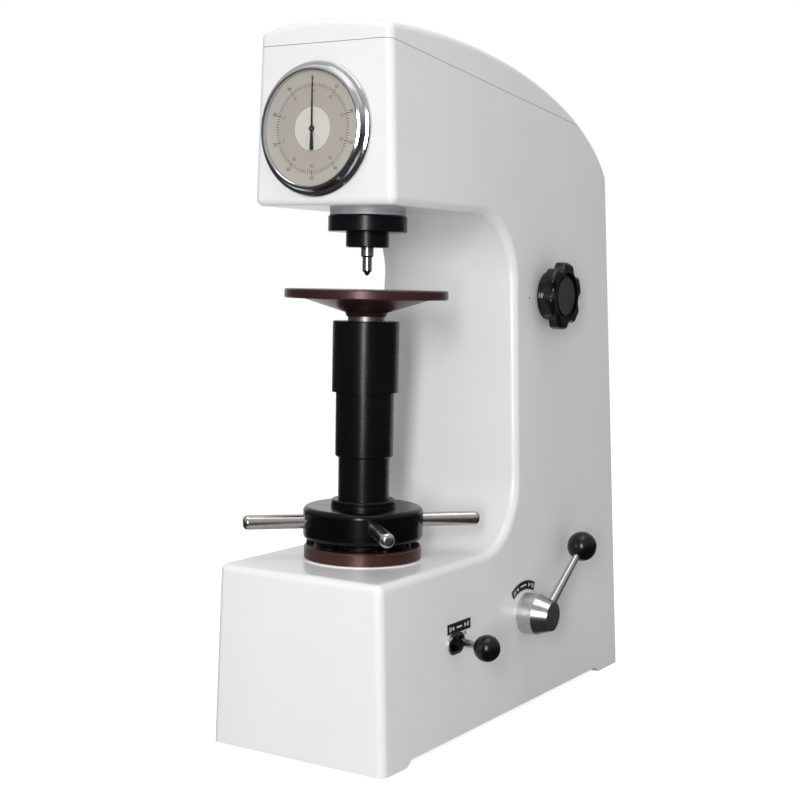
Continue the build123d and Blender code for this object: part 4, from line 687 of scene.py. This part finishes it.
def roundHead(name, radius, height, y, z, material, slotName, slotted):
    # small domed head lying on the wall
    h = headSpec
    clearSelection()
    bpy.ops.mesh.primitive_cylinder_add(
        vertices=h["sides"], radius=radius, depth=height,
        location=(height / 2 - h["sink"], 0, 0), rotation=(0, math.radians(90), 0))
    head = settle(bpy.context.object)
    finishEdges(head, height * h["edgeShare"], h["edgeSegments"])
    if slotted:
        tool = wallBar(radius * h["slotLength"], radius * h["slotWidth"],
                       height * h["slotBottom"], height * h["slotTop"])
        tool.rotation_euler = (h["slotTurn"], 0, 0)
        combine(head, settle(tool), "DIFFERENCE")
    head.name = name
    dress(onWall(head, y, z), material, "frame", smoothAngle)


linerScrews = {
    "radius": 1.7 * mm,
    "height": 0.9 * mm,
    "places": ((37.6 * mm, 97.6 * mm), (30.3 * mm, 84.0 * mm)),
}
indexDot = {"radius": 0.9 * mm, "height": 0.3 * mm, "y": 168.6 * mm, "z": 398 * mm}

makeLoadingPlate()
makeUnloadingPlate()
for i, (y, z) in enumerate(linerScrews["places"]):
    roundHead("linerScrew%d" % (i + 1), linerScrews["radius"], linerScrews["height"], y, z,
              plateSilver, "zinc", slotted=True)
roundHead("indexDot", **indexDot, material=dotPaint, slotName="black_plastic", slotted=False)
print("plates, dot and liner screws made")


# white load numbers on the selector's drum
drumSpec = {
    "centre": (81.6 * mm, 205 * mm, 400 * mm),
    "radius": 23.4 * mm,
    "height": 4.3 * mm,
    "thick": 0.5 * mm,
    "proud": 0.1 * mm,
    "narrow": 0.82,
    "numbers": {"150": 0, "100": 120, "60": 240},
}


def makeDrumNumbers():
    p = drumSpec
    reach = p["radius"] + p["proud"] - p["thick"] / 2
    labels = []
    for words, angle in p["numbers"].items():
        label = flatText(words, p["height"], p["thick"])
        label.scale = (p["narrow"], 1, 1)
        settle(label)
        spot = Matrix.Translation(p["centre"]) @ turnX(angle) @ Matrix.Translation((0, -reach, 0))
        labels.append(place(label, spot))
    dress(joined(labels, "drumNumbers"), whitePrint, "selector")


# ring of marks on the centre disc, round the small pointer
counterSpec = {
    "z": 526.5 * mm,
    "radius": 6.6 * mm,
    "length": 1.3 * mm,
    "width": 0.28 * mm,
    "count": 15,
}


def makeCounterMarks():
    p = counterSpec
    ticks = tickRow(p["z"], p["radius"], p["length"], p["width"], dialPrint["thick"], p["count"])
    dress(joined([ticks], "counterMarks"), blackPrint, "frame")


makeDrumNumbers()
makeCounterMarks()
print("drum numbers and counter marks made")


# sockets and slots in the CAD's plain screws
def looseCopies(nodeName):
    # the node's separate solids as pieces of their own
    copy = nodes[nodeName].copy()
    copy.data = nodes[nodeName].data.copy()
    copy.animation_data_clear()
    bpy.context.scene.collection.objects.link(copy)
    editMesh(copy, mergeDoubles, lambda: bpy.ops.mesh.separate(type="LOOSE"))
    return list(bpy.context.selected_objects)


def boxOf(piece):
    corners = [Vector(corner) for corner in piece.bound_box]
    low = Vector(min(corner[i] for corner in corners) for i in range(3))
    high = Vector(max(corner[i] for corner in corners) for i in range(3))
    return (low + high) / 2, high


def aimed(tool, spot, direction):
    # turns a tool from Z to a direction and moves it to its spot
    tool.rotation_euler = Vector(direction).to_track_quat("Z", "Y").to_euler()
    tool.location = spot
    return settle(tool)


def hexSocket(width, depth, spot, direction):
    clearSelection()
    radius = width / math.sqrt(3)
    bpy.ops.mesh.primitive_cylinder_add(vertices=6, radius=radius, depth=depth * 2)
    return aimed(bpy.context.object, spot, direction)


def crossSlot(width, length, depth, spot, direction):
    size = (length, width, depth * 2)
    turns = (math.radians(45), math.radians(135))
    arms = [block(size, (0, 0, 0), turn) for turn in turns]
    return aimed(combine(*arms, "UNION"), spot, direction)


# depths are from the head's top, and the cover screws lean with the rear wall
flangeSocket = {"width": 3.6 * mm, "depth": 2.2 * mm, "direction": (0, 0, 1)}
coverSlot = {"width": 0.9 * mm, "length": 4 * mm, "depth": 1.4 * mm, "direction": (0, 1, 0.045)}
noseSocket = {"width": 2.4 * mm, "depth": 1.8 * mm}


def flangeTool(screw):
    middle, high = boxOf(screw)
    return hexSocket(**flangeSocket, spot=(middle.x, middle.y, high.z))


def coverTool(screw):
    middle, high = boxOf(screw)
    return crossSlot(**coverSlot, spot=(middle.x, high.y, middle.z))


def noseTool(screw):
    middle, high = boxOf(screw)
    out = Vector((middle.x, middle.y, 0)).normalized()
    reach = max(v.co.x * out.x + v.co.y * out.y for v in screw.data.vertices)
    spot = out * reach + Vector((0, 0, middle.z))
    return hexSocket(**noseSocket, spot=spot, direction=out)


def makeScrews(name, nodeName, body, slotName, toolFor):
    screws = [combine(screw, toolFor(screw), "DIFFERENCE") for screw in looseCopies(nodeName)]
    piece = dress(joined(screws, name), finishes[slotName], body, smoothAngle)
    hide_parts(nodeName)


makeScrews("flangeScrews", "flange_screws", "frame", "black_oxide", flangeTool)
makeScrews("rearCoverScrews", "rear_cover_screws", "frame", "zinc", coverTool)
makeScrews("noseSetScrews", "nose_set_screws", "spindle_unit", "black_oxide", noseTool)
print("screws given their sockets")


# camera, floor and light
cameraSpec = {
    "place": (0.73328, -1.09480, 0.41338),
    "pitch": -5.701,
    "azimuth": 31.444,
    "roll": 1.149,
    "sensor": 36,
    "lens": 66.26,
    "shiftX": -0.0315,
    "shiftY": 0.0331,
    "clipEnd": 50,
}


def placeCamera():
    p = cameraSpec
    data = bpy.data.cameras.new("camera")
    data.sensor_width = p["sensor"]
    data.lens = p["lens"]
    data.shift_x = p["shiftX"]
    data.shift_y = p["shiftY"]
    data.clip_end = p["clipEnd"]
    camera = bpy.data.objects.new("camera", data)
    bpy.context.scene.collection.objects.link(camera)
    angles = (math.radians(90 + p["pitch"]), 0, math.radians(p["azimuth"]))
    aim = Euler(angles).to_matrix().to_4x4()
    roll = Matrix.Rotation(math.radians(p["roll"]), 4, "Z")
    camera.matrix_world = Matrix.Translation(p["place"]) @ aim @ roll
    bpy.context.scene.camera = camera


stageSpec = {
    "floorSize": 14.0,
    "floorTone": 0.55,
    "lift": 0.8,                 # what the camera sees of the floor, above its light
    "worldLevel": 0.46,          # light from all round
    "behind": (-0.52, 0.85),     # where the white background stands
    "farStart": 0.25,            # past here metal and glass see it, nearer they see a dark studio
    "farEnd": 0.8,
    "sideStart": 0.3,
    "sideSpread": 0.3,
    "sideSoft": 0.4,
    "darkTone": 0.05,
    "behindStops": [(0.7, 0.04), (0.9, 1.0)],
    "aboveStops": [(0.1, 0.1), (0.6, 0.6)],
}


def makeFloor():
    s = stageSpec
    clearSelection()
    bpy.ops.mesh.primitive_plane_add(size=s["floorSize"], location=(0, 0, 0))
    floor = bpy.context.object
    floor.name = "floor"
    material, f = newFinish("floorPaint")
    tone, dark = s["floorTone"], s["darkTone"]
    diffuse = f.node("ShaderNodeBsdfDiffuse", {}, {"Color": (tone, tone, tone, 1)})
    camera, glossy, through = f.lightPath("Is Camera Ray", "Is Glossy Ray", "Is Transmission Ray")
    reflected = glossy + through
    x, y, z = f.parts(f.coords())
    behindX, behindY = s["behind"]
    back = x * behindX + y * behindY
    side = x * behindY - y * behindX
    side = (side * side) ** 0.5
    far = f.ramp((back - s["farStart"]) / (s["farEnd"] - s["farStart"]), evenRise)
    beside = f.ramp((side - s["sideSpread"] * back - s["sideStart"]) / s["sideSoft"], evenRise)
    white = far * (1 - beside)
    seen = camera + reflected * white
    glow = f.node("ShaderNodeEmission", {}, {"Color": (1, 1, 1, 1), "Strength": seen * s["lift"]})
    bright = f.node("ShaderNodeAddShader", {}, {0: diffuse, 1: glow})
    shade = f.node("ShaderNodeEmission", {}, {"Color": (dark, dark, dark, 1), "Strength": 1.0})
    mixed = f.node("ShaderNodeMixShader", {}, {0: reflected * (1 - white), 1: bright, 2: shade})
    f.close(mixed)
    floor.data.materials.append(material)


def makeWorld():
    # white behind the object, a dark room elsewhere for what reflects
    s = stageSpec
    world = bpy.data.worlds.new("studio")
    world.use_nodes = True
    world.node_tree.nodes.clear()
    bpy.context.scene.world = world
    f = Finish(world.node_tree)
    camera, glossy, through = f.lightPath("Is Camera Ray", "Is Glossy Ray", "Is Transmission Ray")
    reflected = glossy + through
    x, y, z = f.parts(f.node("ShaderNodeTexCoord", out="Generated"))
    behindX, behindY = s["behind"]
    behind = f.ramp(x * behindX + y * behindY, s["behindStops"])
    above = f.ramp(z, s["aboveStops"])
    mirrored = reflected * (behind + (1 - behind) * above)
    around = (1 - camera) * ((1 - reflected) * s["worldLevel"])
    strength = camera + mirrored + around
    shader = f.node("ShaderNodeBackground", {}, {"Color": (1, 1, 1, 1), "Strength": strength})
    f.node("ShaderNodeOutputWorld", {}, {"Surface": shader})


lampSpecs = {
    "keyBox": {
        "spot": (0.84, -1.72, 0.62), "target": (0, 0, 0.45), "size": (0.22, 1.0), "power": 24,
    },
    "topBox": {
        "spot": (0.1, -0.1, 2.2), "target": (0, 0.1, 0.3), "size": (1.4, 1.4), "power": 16,
    },
}


def makeLamp(name, spot, target, size, power):
    data = bpy.data.lights.new(name, "AREA")
    data.shape = "RECTANGLE"
    data.size, data.size_y = size
    data.energy = power
    lamp = bpy.data.objects.new(name, data)
    bpy.context.scene.collection.objects.link(lamp)
    lamp.location = spot
    aim = Vector(target) - Vector(spot)
    lamp.rotation_euler = aim.to_track_quat("-Z", "Y").to_euler()


placeCamera()
makeFloor()
makeWorld()
for name, spec in lampSpecs.items():
    makeLamp(name, **spec)
bpy.context.scene.view_settings.view_transform = "Standard"
print("camera, floor and lights placed")
